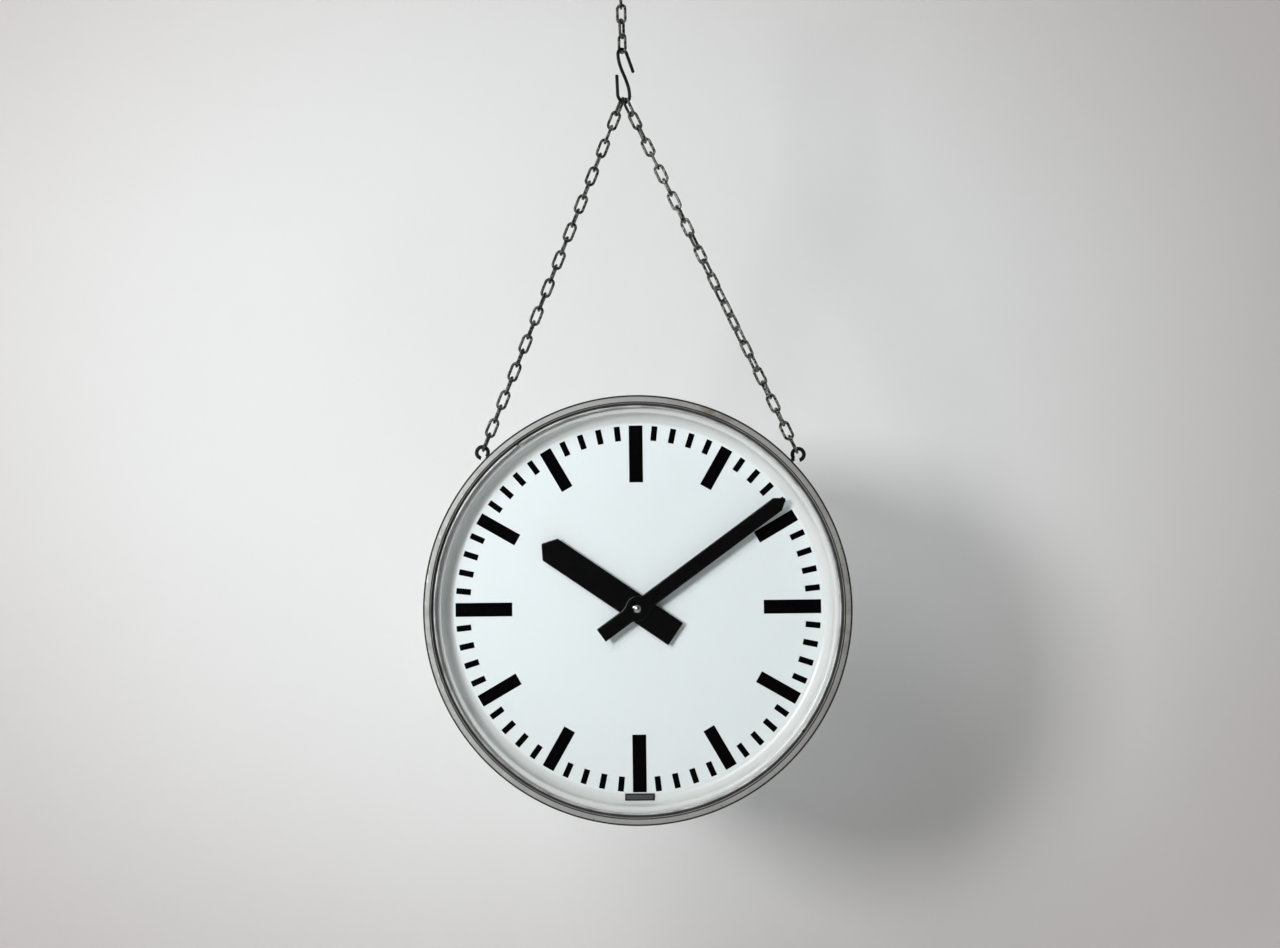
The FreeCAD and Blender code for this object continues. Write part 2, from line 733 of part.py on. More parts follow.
def make_step_wheel():
    """Step-down arbor: its wheel takes the rotor's pinion, its pinion drives the centre wheel."""
    wheel = gear(step_wheel_teeth, rotor_module, *step_level(), step_axis, rotor_axis, True)
    pinion = gear(drive_pinion_teeth, drive_module, *widened(centre_level()),
                  step_axis, centre_axis, True)
    return joined([arbor(step_axis, step_arbor_radius, step_pivot_radius), wheel, pinion])


def make_rotor():
    """Magnet rotor of the impulse motor, with its pinion."""
    magnet_end = back_plate_y - 2 * end_shake
    pinion = gear(rotor_pinion_teeth, rotor_module, *widened(step_level()), rotor_axis, step_axis)
    magnet = along_y(magnet_radius, magnet_end - magnet_length, magnet_end, rotor_axis)
    return joined([arbor(rotor_axis, rotor_arbor_radius, rotor_pivot_radius), pinion, magnet])


def make_stator_yoke():
    """Laminated iron frame: it surrounds the rotor, and its lower bar is the coil's core."""
    start = back_plate_y - yoke_thickness
    top = rotor_axis.z + magnet_radius + magnet_air_gap + yoke_wall_above_rotor
    core_top = rotor_axis.z - yoke_core_below_rotor
    frame = box(-yoke_half_width, yoke_half_width, start, back_plate_y,
                core_top - yoke_core_height, top)
    window = box(-yoke_window_half_width, yoke_window_half_width, start - 1, back_plate_y + 1,
                 core_top, rotor_axis.z - yoke_window_below_rotor)
    yoke = frame.cut(window).cut(along_y(magnet_radius + magnet_air_gap, start - 1,
                                         back_plate_y + 1, rotor_axis))
    for place in yoke_screw_places():
        yoke = yoke.cut(along_y(plate_screw_radius, start - 1, back_plate_y + 1, place))
    return yoke


def coil_bar(radius, half_length):
    middle = Vector(-half_length, back_plate_y - yoke_thickness / 2, coil_z)
    return Part.makeCylinder(radius, 2 * half_length, middle, Vector(1, 0, 0))


def coil_core(extra):
    """The yoke's lower bar where it passes through the coil, grown by extra."""
    return box(-yoke_half_width, yoke_half_width,
               back_plate_y - yoke_thickness - extra, back_plate_y + extra,
               coil_z - yoke_core_height / 2 - extra, coil_z + yoke_core_height / 2 + extra)


def make_coil_bobbin():
    half_length = yoke_window_half_width - bobbin_play
    cheek_radius = coil_radius + bobbin_flange
    spool = coil_bar(cheek_radius, half_length)
    waist = coil_bar(cheek_radius + 1, half_length - bobbin_wall).cut(
        coil_core(bobbin_play + bobbin_wall))
    return spool.cut(waist).cut(coil_core(bobbin_play))


def make_coil_winding():
    half_length = yoke_window_half_width - bobbin_play - bobbin_wall
    return coil_bar(coil_radius, half_length).cut(coil_core(bobbin_play + bobbin_wall))


# ---- cable inlet, terminals and eye bolts ---------------------------------------------------------
def make_grommet():
    """Rubber bush in the top of the drum."""
    up = Vector(0, 0, 1)
    edge_drop = drum_inside - math.sqrt(drum_inside ** 2 - grommet_flange_radius ** 2)
    inner_top = drum_inside - edge_drop - screw_play
    inner = Part.makeCylinder(grommet_flange_radius, grommet_flange_height,
                              Vector(0, 0, inner_top - grommet_flange_height), up)
    neck = Part.makeCylinder(grommet_neck_radius, drum_radius - inner_top + screw_play,
                             Vector(0, 0, inner_top), up)
    outer = Part.makeCylinder(grommet_flange_radius, grommet_flange_height,
                              Vector(0, 0, drum_radius + screw_play / 2), up)
    bore = Part.makeCylinder(grommet_bore_radius, 4 * cut_past,
                             Vector(0, 0, drum_inside - 2 * cut_past), up)
    return joined([inner, neck, outer]).cut(bore)


def terminal_top():
    return math.sqrt(drum_inside ** 2 - (terminal_width / 2) ** 2) - seat_gap


def terminal_screw_places():
    z = terminal_top() - terminal_depth
    return [Vector(x, 0, z) for x in (-terminal_screw_spread, terminal_screw_spread)]


def make_terminal_block():
    half = terminal_width / 2
    block = box(-half, half, -terminal_height / 2, terminal_height / 2,
                terminal_top() - terminal_depth, terminal_top())
    for place in terminal_screw_places():
        hole_depth = terminal_screw_sunk + terminal_screw_length
        block = block.cut(Part.makeCylinder(terminal_screw_radius, hole_depth, place, Vector(0, 0, 1)))
    return on_rim(block, terminal_angle)


def make_terminal_screws():
    screws = []
    for place in terminal_screw_places():
        start = place + Vector(0, 0, terminal_screw_sunk)
        screw = Part.makeCylinder(terminal_screw_radius, terminal_screw_length, start, Vector(0, 0, 1))
        screws.append(on_rim(screw, terminal_angle))
    return Part.makeCompound(screws)


def make_eye_bolt(tip_on_right):
    """An open wire eye on a threaded shank, drawn at the top of the case."""
    shank_side = 270.0
    start = shank_side - eye_ring_sweep if tip_on_right else shank_side
    ring = arc_tube(eye_ring_radius, eye_wire_radius, Vector(0, 0, eye_centre_radius),
                    start, eye_ring_sweep)
    shank = rod(Vector(0, 0, eye_shank_end_radius),
                Vector(0, 0, eye_centre_radius - eye_ring_radius), eye_wire_radius)
    return joined([ring, shank])


def washer(bottom):
    disc = Part.makeCylinder(eye_washer_radius, eye_washer_thickness, Vector(0, 0, bottom))
    hole = Part.makeCylinder(eye_wire_radius + screw_play, 3 * eye_washer_thickness,
                             Vector(0, 0, bottom - eye_washer_thickness))
    return disc.cut(hole)


def eye_fittings():
    """Heights along the shank: outer nut, outer washer, inner washer, inner nut."""
    outer_washer = drum_radius + screw_play / 2
    edge_drop = drum_inside - math.sqrt(drum_inside ** 2 - eye_washer_radius ** 2)
    inner_washer = drum_inside - edge_drop - screw_play / 2 - eye_washer_thickness
    return {
        "outer_nut": outer_washer + eye_washer_thickness,
        "outer_washer": outer_washer,
        "inner_washer": inner_washer,
        "inner_nut": inner_washer - eye_nut_height,
    }


def hex_nut(bottom):
    corner_radius = eye_nut_flats / 2 / math.cos(math.radians(30))
    points = [Vector(corner_radius * math.cos(math.radians(a)),
                     corner_radius * math.sin(math.radians(a)), bottom) for a in range(0, 420, 60)]
    body = Part.Face(Part.makePolygon(points)).extrude(Vector(0, 0, eye_nut_height))
    thread = Part.makeCylinder(eye_wire_radius, 3 * eye_nut_height,
                               Vector(0, 0, bottom - eye_nut_height))
    return body.cut(thread)


def at_both_eyes(pieces):
    sides = (-eye_angle, eye_angle)
    return Part.makeCompound([on_rim(piece, angle) for piece in pieces for angle in sides])


# ---- wire work: links, hooks and chain ------------------------------------------------------------
def rod(start, end, radius):
    return Part.makeCylinder(radius, (end - start).Length, start, end - start)


def arc_tube(path_radius, wire_radius, centre, start, sweep):
    """Bent wire in the XZ plane; angles run counterclockwise from +X, seen from the front."""
    tube = Part.makeTorus(path_radius, wire_radius, Vector(), Vector(0, 0, 1), -180, 180, sweep)
    tube = turned(tube, 90, Vector(1, 0, 0))
    return moved(turned(tube, -start), centre)


def in_plane(radius, degrees):
    """A point round the Y axis, counterclockwise from +X seen from the front."""
    angle = math.radians(degrees)
    return Vector(radius * math.cos(angle), 0, radius * math.sin(angle))


def make_link():
    """One welded link in the XZ plane, its long axis along Z."""
    straight = link_reach - link_bend
    top = Vector(0, 0, straight)
    pieces = [arc_tube(link_bend, link_wire_radius, top, 0, 180),
              arc_tube(link_bend, link_wire_radius, -top, 180, 180)]
    for x in (-link_bend, link_bend):
        pieces.append(rod(Vector(x, 0, -straight), Vector(x, 0, straight), link_wire_radius))
    return joined(pieces)


def across(direction, roll):
    """The width direction of a link that hangs along direction; roll 0 shows its face to the front."""
    face_on = direction.cross(Vector(0, 1, 0)).normalize()
    edge_on = face_on.cross(direction).normalize()
    angle = math.radians(roll)
    return face_on * math.cos(angle) + edge_on * math.sin(angle)


def roll_square_to(wire_direction, direction):
    """The roll at which a link hangs square to the wire that carries it."""
    width = direction.cross(wire_direction).normalize()
    sine = width.dot(across(direction, 90))
    cosine = width.dot(across(direction, 0))
    return math.degrees(math.atan2(sine, cosine))


def link_rolls(stops):
    """Rolls of a run of links: each turns 90 degrees from the last, with the twist spread evenly.

    stops is a list of (link number, roll) pairs that the run must meet.
    """
    rolls = [stops[0][1]]
    for (first, _), (last, last_roll) in zip(stops, stops[1:]):
        steps = last - first
        twist = last_roll - rolls[-1] - 90 * steps
        twist = (twist + 90) % 180 - 90
        for _ in range(steps):
            rolls.append(rolls[-1] + 90 + twist / steps)
    return rolls


def placed_link(link, middle, direction, roll):
    width = across(direction, roll)
    up = -direction
    depth = up.cross(width)
    matrix = FreeCAD.Matrix(width.x, depth.x, up.x, middle.x,
                            width.y, depth.y, up.y, middle.y,
                            width.z, depth.z, up.z, middle.z,
                            0, 0, 0, 1)
    return link.transformed(matrix)


def make_chain(first_middle, direction, rolls):
    link = make_link()
    links = []
    for number, roll in enumerate(rolls):
        middle = first_middle + direction * (number * link_pitch)
        links.append(placed_link(link, middle, direction, roll))
    return links


def crossing(wire_radius):
    """Distance between the middles of a link's wire and the wire that carries it."""
    return wire_radius + link_wire_radius + link_play


# ---- where everything hangs ------------------------------------------------------------------------
ceiling_ring_z = -ceiling_plate_thickness - ceiling_shank_length - ceiling_ring_radius
ceiling_crown_z = ceiling_ring_z - ceiling_ring_radius
top_link_z = ceiling_crown_z + crossing(ceiling_wire_radius) - link_reach
last_hanging_link_z = top_link_z - (hanging_links - 1) * link_pitch
hook_top_z = last_hanging_link_z - link_reach + crossing(hook_wire_radius)
hook_bottom_z = hook_top_z - hook_height + 2 * hook_wire_radius
hook_wire_direction = Vector(math.cos(math.radians(hook_turn)), math.sin(math.radians(hook_turn)), 0)
down = Vector(0, 0, -1)


def leg_seat(side):
    """Middle of the hook's wire where a leg hangs; side is -1 for the left leg, 1 for the right."""
    angle = math.radians(hook_seat_angle)
    along = hook_wire_direction * (side * hook_bottom_bend * math.sin(angle))
    return along + Vector(0, 0, hook_bottom_z + hook_bottom_bend * (1 - math.cos(angle)))


def leg_length(links):
    """Hook wire to eye wire along a taut leg."""
    ends = 2 * link_reach - crossing(hook_wire_radius) - crossing(eye_wire_radius)
    return ends + (links - 1) * link_pitch


def eye_middle(side, lean, centre_z):
    angle = math.radians(side * eye_angle + lean)
    return Vector(eye_centre_radius * math.sin(angle), 0,
                  centre_z + eye_centre_radius * math.cos(angle))


def leg_errors(lean, centre_z):
    """How much too long each leg would be with the case leaned and lowered like this."""
    errors = []
    for side, links in ((-1, left_leg_links), (1, right_leg_links)):
        span = (eye_middle(side, lean, centre_z) - leg_seat(side)).Length - eye_ring_radius
        errors.append(span - leg_length(links))
    return errors


def hanging_place():
    """Lean and height of the case at which both legs are taut under the hook, by Newton's method."""
    lean = 0.0
    centre_z = hook_bottom_z - leg_length(right_leg_links) - eye_centre_radius
    step = 1e-3
    for _ in range(20):
        left, right = leg_errors(lean, centre_z)
        left_lean, right_lean = leg_errors(lean + step, centre_z)
        left_drop, right_drop = leg_errors(lean, centre_z + step)
        a, b = (left_lean - left) / step, (left_drop - left) / step
        c, d = (right_lean - right) / step, (right_drop - right) / step
        scale = a * d - b * c
        lean -= (d * left - b * right) / scale
        centre_z -= (a * right - c * left) / scale
    return lean, centre_z


case_lean, case_centre_z = hanging_place()


def leg_direction(side):
    return (eye_middle(side, case_lean, case_centre_z) - leg_seat(side)).normalize()


def make_leg(side, links):
    direction = leg_direction(side)
    first_roll = roll_square_to(local_hook_wire(side), direction) + leg_link_turn
    rolls = link_rolls([(0, first_roll), (settling_links, 0), (links - 1, 90)])
    first_middle = leg_seat(side) + direction * (link_reach - crossing(hook_wire_radius))
    return Part.makeCompound(make_chain(first_middle, direction, rolls))


def local_hook_wire(side):
    """Direction of the hook's wire under a leg."""
    angle = math.radians(side * hook_seat_angle)
    return hook_wire_direction * math.cos(angle) + Vector(0, 0, math.sin(angle))


def hanging_chain_links():
    """The links over the hook, top one first: edge on at the ceiling, nearly square to the hook."""
    bottom_roll = hook_turn - 90 + hanging_link_turn
    rolls = link_rolls([(0, 90), (hanging_links - 1, bottom_roll)])
    return make_chain(Vector(0, 0, top_link_z), down, rolls)


def make_s_hook():
    """Bent wire: a tail, the top bend, a slanting strand, the bottom bend and a second tail."""
    top = Vector(0, 0, hook_top_z - hook_top_bend)
    bottom = Vector(0, 0, hook_bottom_z + hook_bottom_bend)
    slant = math.degrees(math.asin((hook_top_bend + hook_bottom_bend) / (top - bottom).Length))
    top_end = 180 + slant
    bottom_start = slant
    bottom_end = 180 - hook_bottom_flare
    tail_start = top + in_plane(hook_top_bend, hook_top_flare)
    tail_end = tail_start + in_plane(hook_top_tail, hook_top_flare - 90)
    strand_start = top + in_plane(hook_top_bend, top_end)
    strand_end = bottom + in_plane(hook_bottom_bend, bottom_start)
    low_tail_start = bottom + in_plane(hook_bottom_bend, bottom_end)
    low_tail_end = low_tail_start + in_plane(hook_bottom_tail, bottom_end - 90)
    bottom_sweep = 360 - bottom_end + bottom_start
    wire = joined([
        rod(tail_start, tail_end, hook_wire_radius),
        arc_tube(hook_top_bend, hook_wire_radius, top, hook_top_flare, top_end - hook_top_flare),
        rod(strand_start, strand_end, hook_wire_radius),
        arc_tube(hook_bottom_bend, hook_wire_radius, bottom, bottom_end, bottom_sweep),
        rod(low_tail_start, low_tail_end, hook_wire_radius)])
    return turned(wire, hook_turn, Vector(0, 0, 1))


def make_ceiling_plate():
    plate = Part.makeCylinder(ceiling_plate_radius, ceiling_plate_thickness, Vector(), down)
    shank_hole = Part.makeCylinder(ceiling_wire_radius, 3 * ceiling_plate_thickness,
                                   Vector(0, 0, ceiling_plate_thickness), down)
    plate = plate.cut(shank_hole)
    for number in range(ceiling_hole_count):
        angle = math.pi / 2 + 2 * math.pi * number / ceiling_hole_count
        place = Vector(math.cos(angle), math.sin(angle), 0) * (ceiling_hole_circle / 2)
        place.z = ceiling_plate_thickness
        hole = Part.makeCylinder(ceiling_hole_radius, 3 * ceiling_plate_thickness, place, down)
        plate = plate.cut(hole)
    return plate


def make_ceiling_hook():
    shank = rod(Vector(0, 0, -ceiling_shank_inset), Vector(0, 0, ceiling_ring_z + ceiling_ring_radius),
                ceiling_wire_radius)
    ring = arc_tube(ceiling_ring_radius, ceiling_wire_radius, Vector(0, 0, ceiling_ring_z),
                    90, ceiling_ring_sweep)
    return joined([shank, ring])


# ---- the whole clock -------------------------------------------------------------------------------
def hung(shape, lean):
    return moved(turned(shape, lean), Vector(0, 0, case_centre_z))


def front_and_rear(shape):
    """The same piece on the front and, turned half round the vertical, on the rear."""
    return {"front": shape, "rear": turned(shape, 180, Vector(0, 0, 1))}


def both(shapes):
    """Like fasteners of the front and the rear in one group."""
    return Part.makeCompound(shapes + [turned(shape, 180, Vector(0, 0, 1)) for shape in shapes])


def case_pieces():
    fittings = eye_fittings()
    pieces = {
        "case_drum": make_drum(),
        "eye_bolts": Part.makeCompound([on_rim(make_eye_bolt(False), -eye_angle),
                                        on_rim(make_eye_bolt(True), eye_angle)]),
        "eye_washers": at_both_eyes([washer(fittings["outer_washer"]),
                                     washer(fittings["inner_washer"])]),
        "eye_nuts": at_both_eyes([hex_nut(fittings["outer_nut"]),
                                  hex_nut(fittings["inner_nut"])]),
        "cable_grommet": make_grommet(),
        "terminal_block": make_terminal_block(),
        "terminal_screws": make_terminal_screws(),
        "bezel_screws": both([on_rim(make_bezel_screw(), angle) for angle in bezel_screw_angles]),
        "bezel_clinch_nuts": both([on_rim(make_clinch_nut(), angle) for angle in bezel_screw_angles]),
    }
    sided = {"bezel": make_bezel(), "split_ring": make_split_ring(), "glass": make_glass(),
             "glass_gasket": make_gasket()}
    for name, shape in sided.items():
        for side, piece in front_and_rear(shape).items():
            pieces[side + "_" + name] = piece
    return pieces


def dial_pieces():
    screws = [make_plate_screw(place, plate_thickness + plate_screw_length - screw_tip_gap)
              for place in pillar_places()]
    screws += [make_plate_screw(place, plate_thickness + yoke_screw_length)
               for place in yoke_screw_places()]
    pieces = {
        "dial_posts": both([make_dial_post(place) for place in pillar_places()]),
        "movement_pillars": both([make_pillar(place) for place in pillar_places()]),
        "movement_screws": both(screws),
    }
    sided = {"dial": make_dial(), "dial_marks": make_dial_marks(), "dial_label": make_dial_label(),
             "movement_dial_plate": make_front_plate(), "movement_back_plate": make_back_plate(),
             "stator_yoke": make_stator_yoke(), "coil_bobbin": make_coil_bobbin(),
             "coil_winding": make_coil_winding(), "rotor": make_rotor(),
             "step_wheel": make_step_wheel(), "minute_arbor": make_minute_arbor(),
             "minute_wheel": make_minute_wheel(), "hour_wheel": make_hour_wheel(),
             "hour_hand": make_hour_hand(), "minute_hand": make_minute_hand(),
             "hand_nut": make_hand_nut()}
    for name, shape in sided.items():
        for side, piece in front_and_rear(shape).items():
            pieces[side + "_" + name] = piece
    return pieces


def hanging_pieces():
    links = hanging_chain_links()
    return {
        "ceiling_plate": make_ceiling_plate(),
        "ceiling_hook": make_ceiling_hook(),
        "top_link": links[0],
        "hanging_chain": Part.makeCompound(links[1:]),
        "s_hook": make_s_hook(),
        "left_leg_chain": make_leg(-1, left_leg_links),
        "right_leg_chain": make_leg(1, right_leg_links),
    }


def all_pieces():
    pieces = hanging_pieces()
    for name, shape in case_pieces().items():
        pieces[name] = hung(shape, case_lean)
    for name, shape in dial_pieces().items():
        pieces[name] = hung(shape, dial_lean)
    return pieces


os.makedirs("parts", exist_ok=True)
for name, shape in all_pieces().items():
    shape.exportStep("parts/" + name + ".step")
print("case leans", round(case_lean, 3), "degrees; its middle is at Z", round(case_centre_z, 3))
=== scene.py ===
import json
import math

import bmesh
import bpy
from mathutils import Matrix, Vector


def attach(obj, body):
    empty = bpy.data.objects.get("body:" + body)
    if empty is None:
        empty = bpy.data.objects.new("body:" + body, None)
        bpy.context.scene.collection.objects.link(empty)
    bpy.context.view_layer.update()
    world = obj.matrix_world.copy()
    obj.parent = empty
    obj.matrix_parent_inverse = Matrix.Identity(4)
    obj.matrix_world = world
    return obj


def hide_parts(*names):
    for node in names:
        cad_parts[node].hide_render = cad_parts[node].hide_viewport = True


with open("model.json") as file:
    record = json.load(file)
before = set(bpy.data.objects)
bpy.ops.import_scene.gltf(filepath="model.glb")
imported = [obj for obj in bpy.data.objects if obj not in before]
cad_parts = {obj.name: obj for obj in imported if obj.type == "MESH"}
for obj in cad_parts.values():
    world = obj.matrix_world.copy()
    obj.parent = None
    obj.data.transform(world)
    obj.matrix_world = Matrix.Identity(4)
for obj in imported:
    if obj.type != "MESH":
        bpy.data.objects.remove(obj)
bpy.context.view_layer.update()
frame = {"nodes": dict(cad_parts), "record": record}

# Looks of the double sided station clock. Metres, +Z up, the front dial faces -Y.
# The clock's own pieces are drawn upright round its centre, in millimetres, and hung at the end.

mm = 0.001

# ---- places taken from the built frame ---------------------------------------------------------
case_centre_z = -675.613
case_lean = 2.109            # degrees clockwise, seen from the front
dial_lean = 1.0
lip_radius = 206.8           # inner edge of the flat band
groove_radius = 207.8
case_radius = 215.0
front_face_y = -60.0
dial_face_y = -33.2
dial_flange_y = -51.2
drum_end_y = -50.2
ring_front_y = -56.6
ring_back_y = -55.6
shown_hours = 10
shown_minutes = 9
sides = ("front", "rear")

# ---- camera, fitted to the photograph ------------------------------------------------------------
photo_width = 1280
focal_pixels = 1500
sensor_width = 36.0
camera_place = Vector((0.0499, -1.5621, -0.5969))
camera_right = Vector((0.99913, 0.02956, -0.02953))
camera_up = Vector((0.03061, -0.03678, 0.99885))
camera_forward = Vector((-0.02844, 0.99889, 0.03765))

# ---- studio, in metres ---------------------------------------------------------------------------
clock_middle = Vector((0.0, 0.0, -0.66))
floor_z = -1.62
wall_y = 0.45
wall_top_z = 2.4
wall_half_width = 3.5


# ---- shader sums ---------------------------------------------------------------------------------
class Value:
    """A shader socket that takes part in Python sums."""

    def __init__(self, nodes, socket):
        self.nodes = nodes
        self.socket = socket

    def worked(self, operation, *terms):
        return self.nodes.node("ShaderNodeMath", {"operation": operation}, dict(enumerate(terms)))

    def __add__(self, other):
        return self.worked("ADD", self, other)

    def __radd__(self, other):
        return self.worked("ADD", other, self)

    def __sub__(self, other):
        return self.worked("SUBTRACT", self, other)

    def __rsub__(self, other):
        return self.worked("SUBTRACT", other, self)

    def __mul__(self, other):
        return self.worked("MULTIPLY", self, other)

    def __rmul__(self, other):
        return self.worked("MULTIPLY", other, self)

    def __pow__(self, other):
        return self.worked("POWER", self, other)

    def __abs__(self):
        return self.worked("ABSOLUTE", self)

    def at_least(self, other):
        return self.worked("MAXIMUM", self, other)

    def at_most(self, other):
        return self.worked("MINIMUM", self, other)

    def rise(self, start, end):
        """0 at start and 1 at end, smooth between them."""
        return self.nodes.node("ShaderNodeMapRange", {"interpolation_type": "SMOOTHSTEP"},
                               {0: self, 1: start, 2: end, 3: 0.0, 4: 1.0})

    def near(self, middle, reach):
        """1 where the value is at middle, 0 from reach away."""
        return 1 - abs(self - middle).rise(0.0, reach)


def rgb(red, green, blue):
    """A display colour, 0 to 255, as the light values that a shader takes."""
    def light(part):
        share = part / 255
        return share / 12.92 if share <= 0.04045 else ((share + 0.055) / 1.055) ** 2.4
    return (light(red), light(green), light(blue), 1.0)


class Nodes:
    """An emptied node tree and the one way to add to it."""

    def __init__(self, tree):
        self.tree = tree
        tree.nodes.clear()

    def node(self, kind, settings=None, sockets=None, output=0):
        """A new node; gives the socket named by output."""
        made = self.tree.nodes.new(kind)
        for name, value in (settings or {}).items():
            setattr(made, name, value)
        for name, value in (sockets or {}).items():
            if isinstance(value, Value):
                self.tree.links.new(value.socket, made.inputs[name])
            else:
                made.inputs[name].default_value = value
        return Value(self, made.outputs[output]) if made.outputs else None


class Finish(Nodes):
    """The node tree of one material."""

    def __init__(self, name):
        self.material = bpy.data.materials.new(name)
        self.material.use_nodes = True
        super().__init__(self.material.node_tree)
        self.place = self.node("ShaderNodeTexCoord", output="Object")
        self.x, self.y, self.z = (
            self.node("ShaderNodeSeparateXYZ", sockets={0: self.place}, output=part)
            for part in range(3))

    def height(self):
        """Height above the dials' axis."""
        return self.z - case_centre_z * mm

    def radius(self):
        """Distance from the dials' axis."""
        height = self.height()
        return (self.x * self.x + height * height) ** 0.5

    def speckle(self, size, detail=4.0, roughness=0.55, place=None):
        """Cloudy variation about 0.5, with blots of roughly this size in millimetres."""
        return self.node("ShaderNodeTexNoise", {}, {
            "Vector": place or self.place, "Scale": 1 / (size * mm), "Detail": detail,
            "Roughness": roughness, "Distortion": 0.0})

    def stretched(self, x, y, z):
        """The place, scaled, so that a texture is drawn out where the number is small."""
        return self.node("ShaderNodeVectorMath", {"operation": "MULTIPLY"},
                         {0: self.place, 1: (x, y, z)})

    def mixed(self, share, first, second):
        """The first colour where share is 0, the second where it is 1."""
        return self.node("ShaderNodeMix", {"data_type": "RGBA"}, {0: share, 6: first, 7: second},
                         output=2)

    def shaded(self, colour, amount):
        """The colour, made lighter or darker by a grey amount."""
        grey = self.node("ShaderNodeCombineColor", {}, {0: amount, 1: amount, 2: amount})
        return self.node("ShaderNodeMix", {"data_type": "RGBA", "blend_type": "MULTIPLY"},
                         {0: 1.0, 6: colour, 7: grey}, output=2)

    def bump(self, height, depth):
        """Surface relief, depth in millimetres for a height of 1."""
        return self.node("ShaderNodeBump", {}, {"Strength": 1.0, "Distance": depth * mm,
                                                "Height": height})

    def surface(self, **sockets):
        """The whole material from the sockets of the main shader, named in small letters."""
        named = {name.replace("_", " ").title(): value for name, value in sockets.items()}
        if "Specular" in named:
            named["Specular IOR Level"] = named.pop("Specular")
        return self.finished(self.node("ShaderNodeBsdfPrincipled", {}, named))

    def finished(self, shader):
        self.node("ShaderNodeOutputMaterial", {}, {"Surface": shader})
        return self.material


# ---- finishes ------------------------------------------------------------------------------------
def case_paint():
    """Worn grey metal paint: mottled, painted lighter at the left as painted light in scuff-like
    patches, stained and pitted at the right, with painted shade in the seam, on the outer edge and
    inside the lip.
    """
    seam_radius = 0.20785
    rim_start = 0.2129
    rim_end = 0.2134
    lip_start = 0.2066
    lip_end = 0.2070
    finish = Finish("case_paint")
    across = finish.x
    height = finish.height()
    radius = finish.radius()
    mottle = finish.speckle(14.0, 5.0, 0.6)
    grain = finish.speckle(1.1, 3.0, 0.7)
    tone = 0.74 + mottle * 0.36 + grain * 0.16
    # Painted light: the left side is painted lighter, in patches like scuffs.
    left_light_and_scuffs = (0 - across).rise(0.02, 0.20) * mottle.rise(0.30, 0.60)
    grey = finish.mixed(left_light_and_scuffs * 0.45, rgb(149, 149, 146), rgb(174, 178, 176))
    grey = finish.shaded(grey, tone)
    stain_cloud = finish.speckle(22.0, 6.0, 0.65)
    upper_right = across.near(0.085, 0.055) * height.rise(0.16, 0.20)
    right_side = across.rise(0.150, 0.212)
    front = abs(finish.y).rise(0.0560, 0.0580)
    stain = (upper_right * 0.8 + right_side * 0.4) * stain_cloud.rise(0.42, 0.60)
    stain = (stain * (front * 0.5 + 0.5)).at_most(1.0)
    grey = finish.mixed(stain, grey, rgb(96, 78, 58))
    blots = finish.speckle(2.4, 3.0, 0.5)
    pit_place = 0.30 + across.rise(0.12, 0.21) * 0.5 + (0 - height).rise(0.14, 0.21) * 0.4
    pits = (blots - 0.74 + pit_place * stain_cloud * 0.22).rise(0.0, 0.05)
    grey = finish.mixed(pits, grey, rgb(40, 32, 26))
    streak = finish.speckle(2.2, 3.0, 0.5, finish.stretched(1.0, 0.5, 0.2))
    scratch = streak.rise(0.62, 0.68) * (0 - across).rise(0.10, 0.20) * (front * 0.6 + 0.12)
    grey = finish.mixed(scratch, grey, rgb(210, 214, 212))
    # Painted shade: near-black in the seam groove, on the rounded outer edge and in the recess inside
    # the lip.
    seam = (radius.near(seam_radius, 0.0009) * 2.2).at_most(1.0) * front
    rim = radius.rise(rim_start, rim_end) * front
    inside = 1 - radius.rise(lip_start, lip_end)
    painted_shade = (seam * 0.95 + rim * 0.98 + inside * 0.9).at_most(0.98)
    grey = finish.mixed(painted_shade, grey, rgb(12, 11, 11))
    rough = 0.46 + mottle * 0.16 + (stain + pits + painted_shade) * 0.22 - scratch * 0.12
    relief = mottle * 0.5 + grain * 0.25 - pits * 0.8 - scratch * 0.3
    return finish.surface(base_color=grey, roughness=rough,
                          metallic=(0.3 - stain * 0.3 - painted_shade * 0.3).at_least(0.0),
                          normal=finish.bump(relief, 0.12))


def ring_steel():
    """Dull rolled strip: a paler bead, and painted shade, near-black, on the flat beside it under the
    lip.
    """
    bead_end = 0.20465
    flat_start = 0.20495
    finish = Finish("ring_steel")
    patch = finish.speckle(30.0, 4.0)
    grain = finish.speckle(0.9, 3.0)
    colour = finish.mixed(patch.rise(0.35, 0.65), rgb(140, 141, 140), rgb(196, 199, 199))
    colour = finish.shaded(colour, 0.86 + grain * 0.28)
    # Painted shade: the flat beside the bead is painted near-black where the lip shades it.
    painted_shade = finish.radius().rise(bead_end, flat_start)
    colour = finish.mixed(painted_shade * 0.94, colour, rgb(16, 15, 15))
    return finish.surface(base_color=colour, metallic=0.6 - painted_shade * 0.5,
                          roughness=0.36 + patch * 0.16 + painted_shade * 0.3,
                          normal=finish.bump(grain, 0.03))


def zinc_steel():
    """Zinc plate with its faint crystal bloom."""
    finish = Finish("zinc_steel")
    bloom = finish.node("ShaderNodeTexVoronoi", {"feature": "F1"},
                        {"Vector": finish.place, "Scale": 260.0}, output="Color")
    cloud = finish.speckle(3.0)
    flake = finish.node("ShaderNodeSeparateColor", {}, {0: bloom})
    colour = finish.shaded(rgb(176, 180, 182), 0.82 + flake * 0.14 + cloud * 0.16)
    return finish.surface(base_color=colour, metallic=0.9, roughness=0.30 + flake * 0.16,
                          normal=finish.bump(cloud, 0.04))


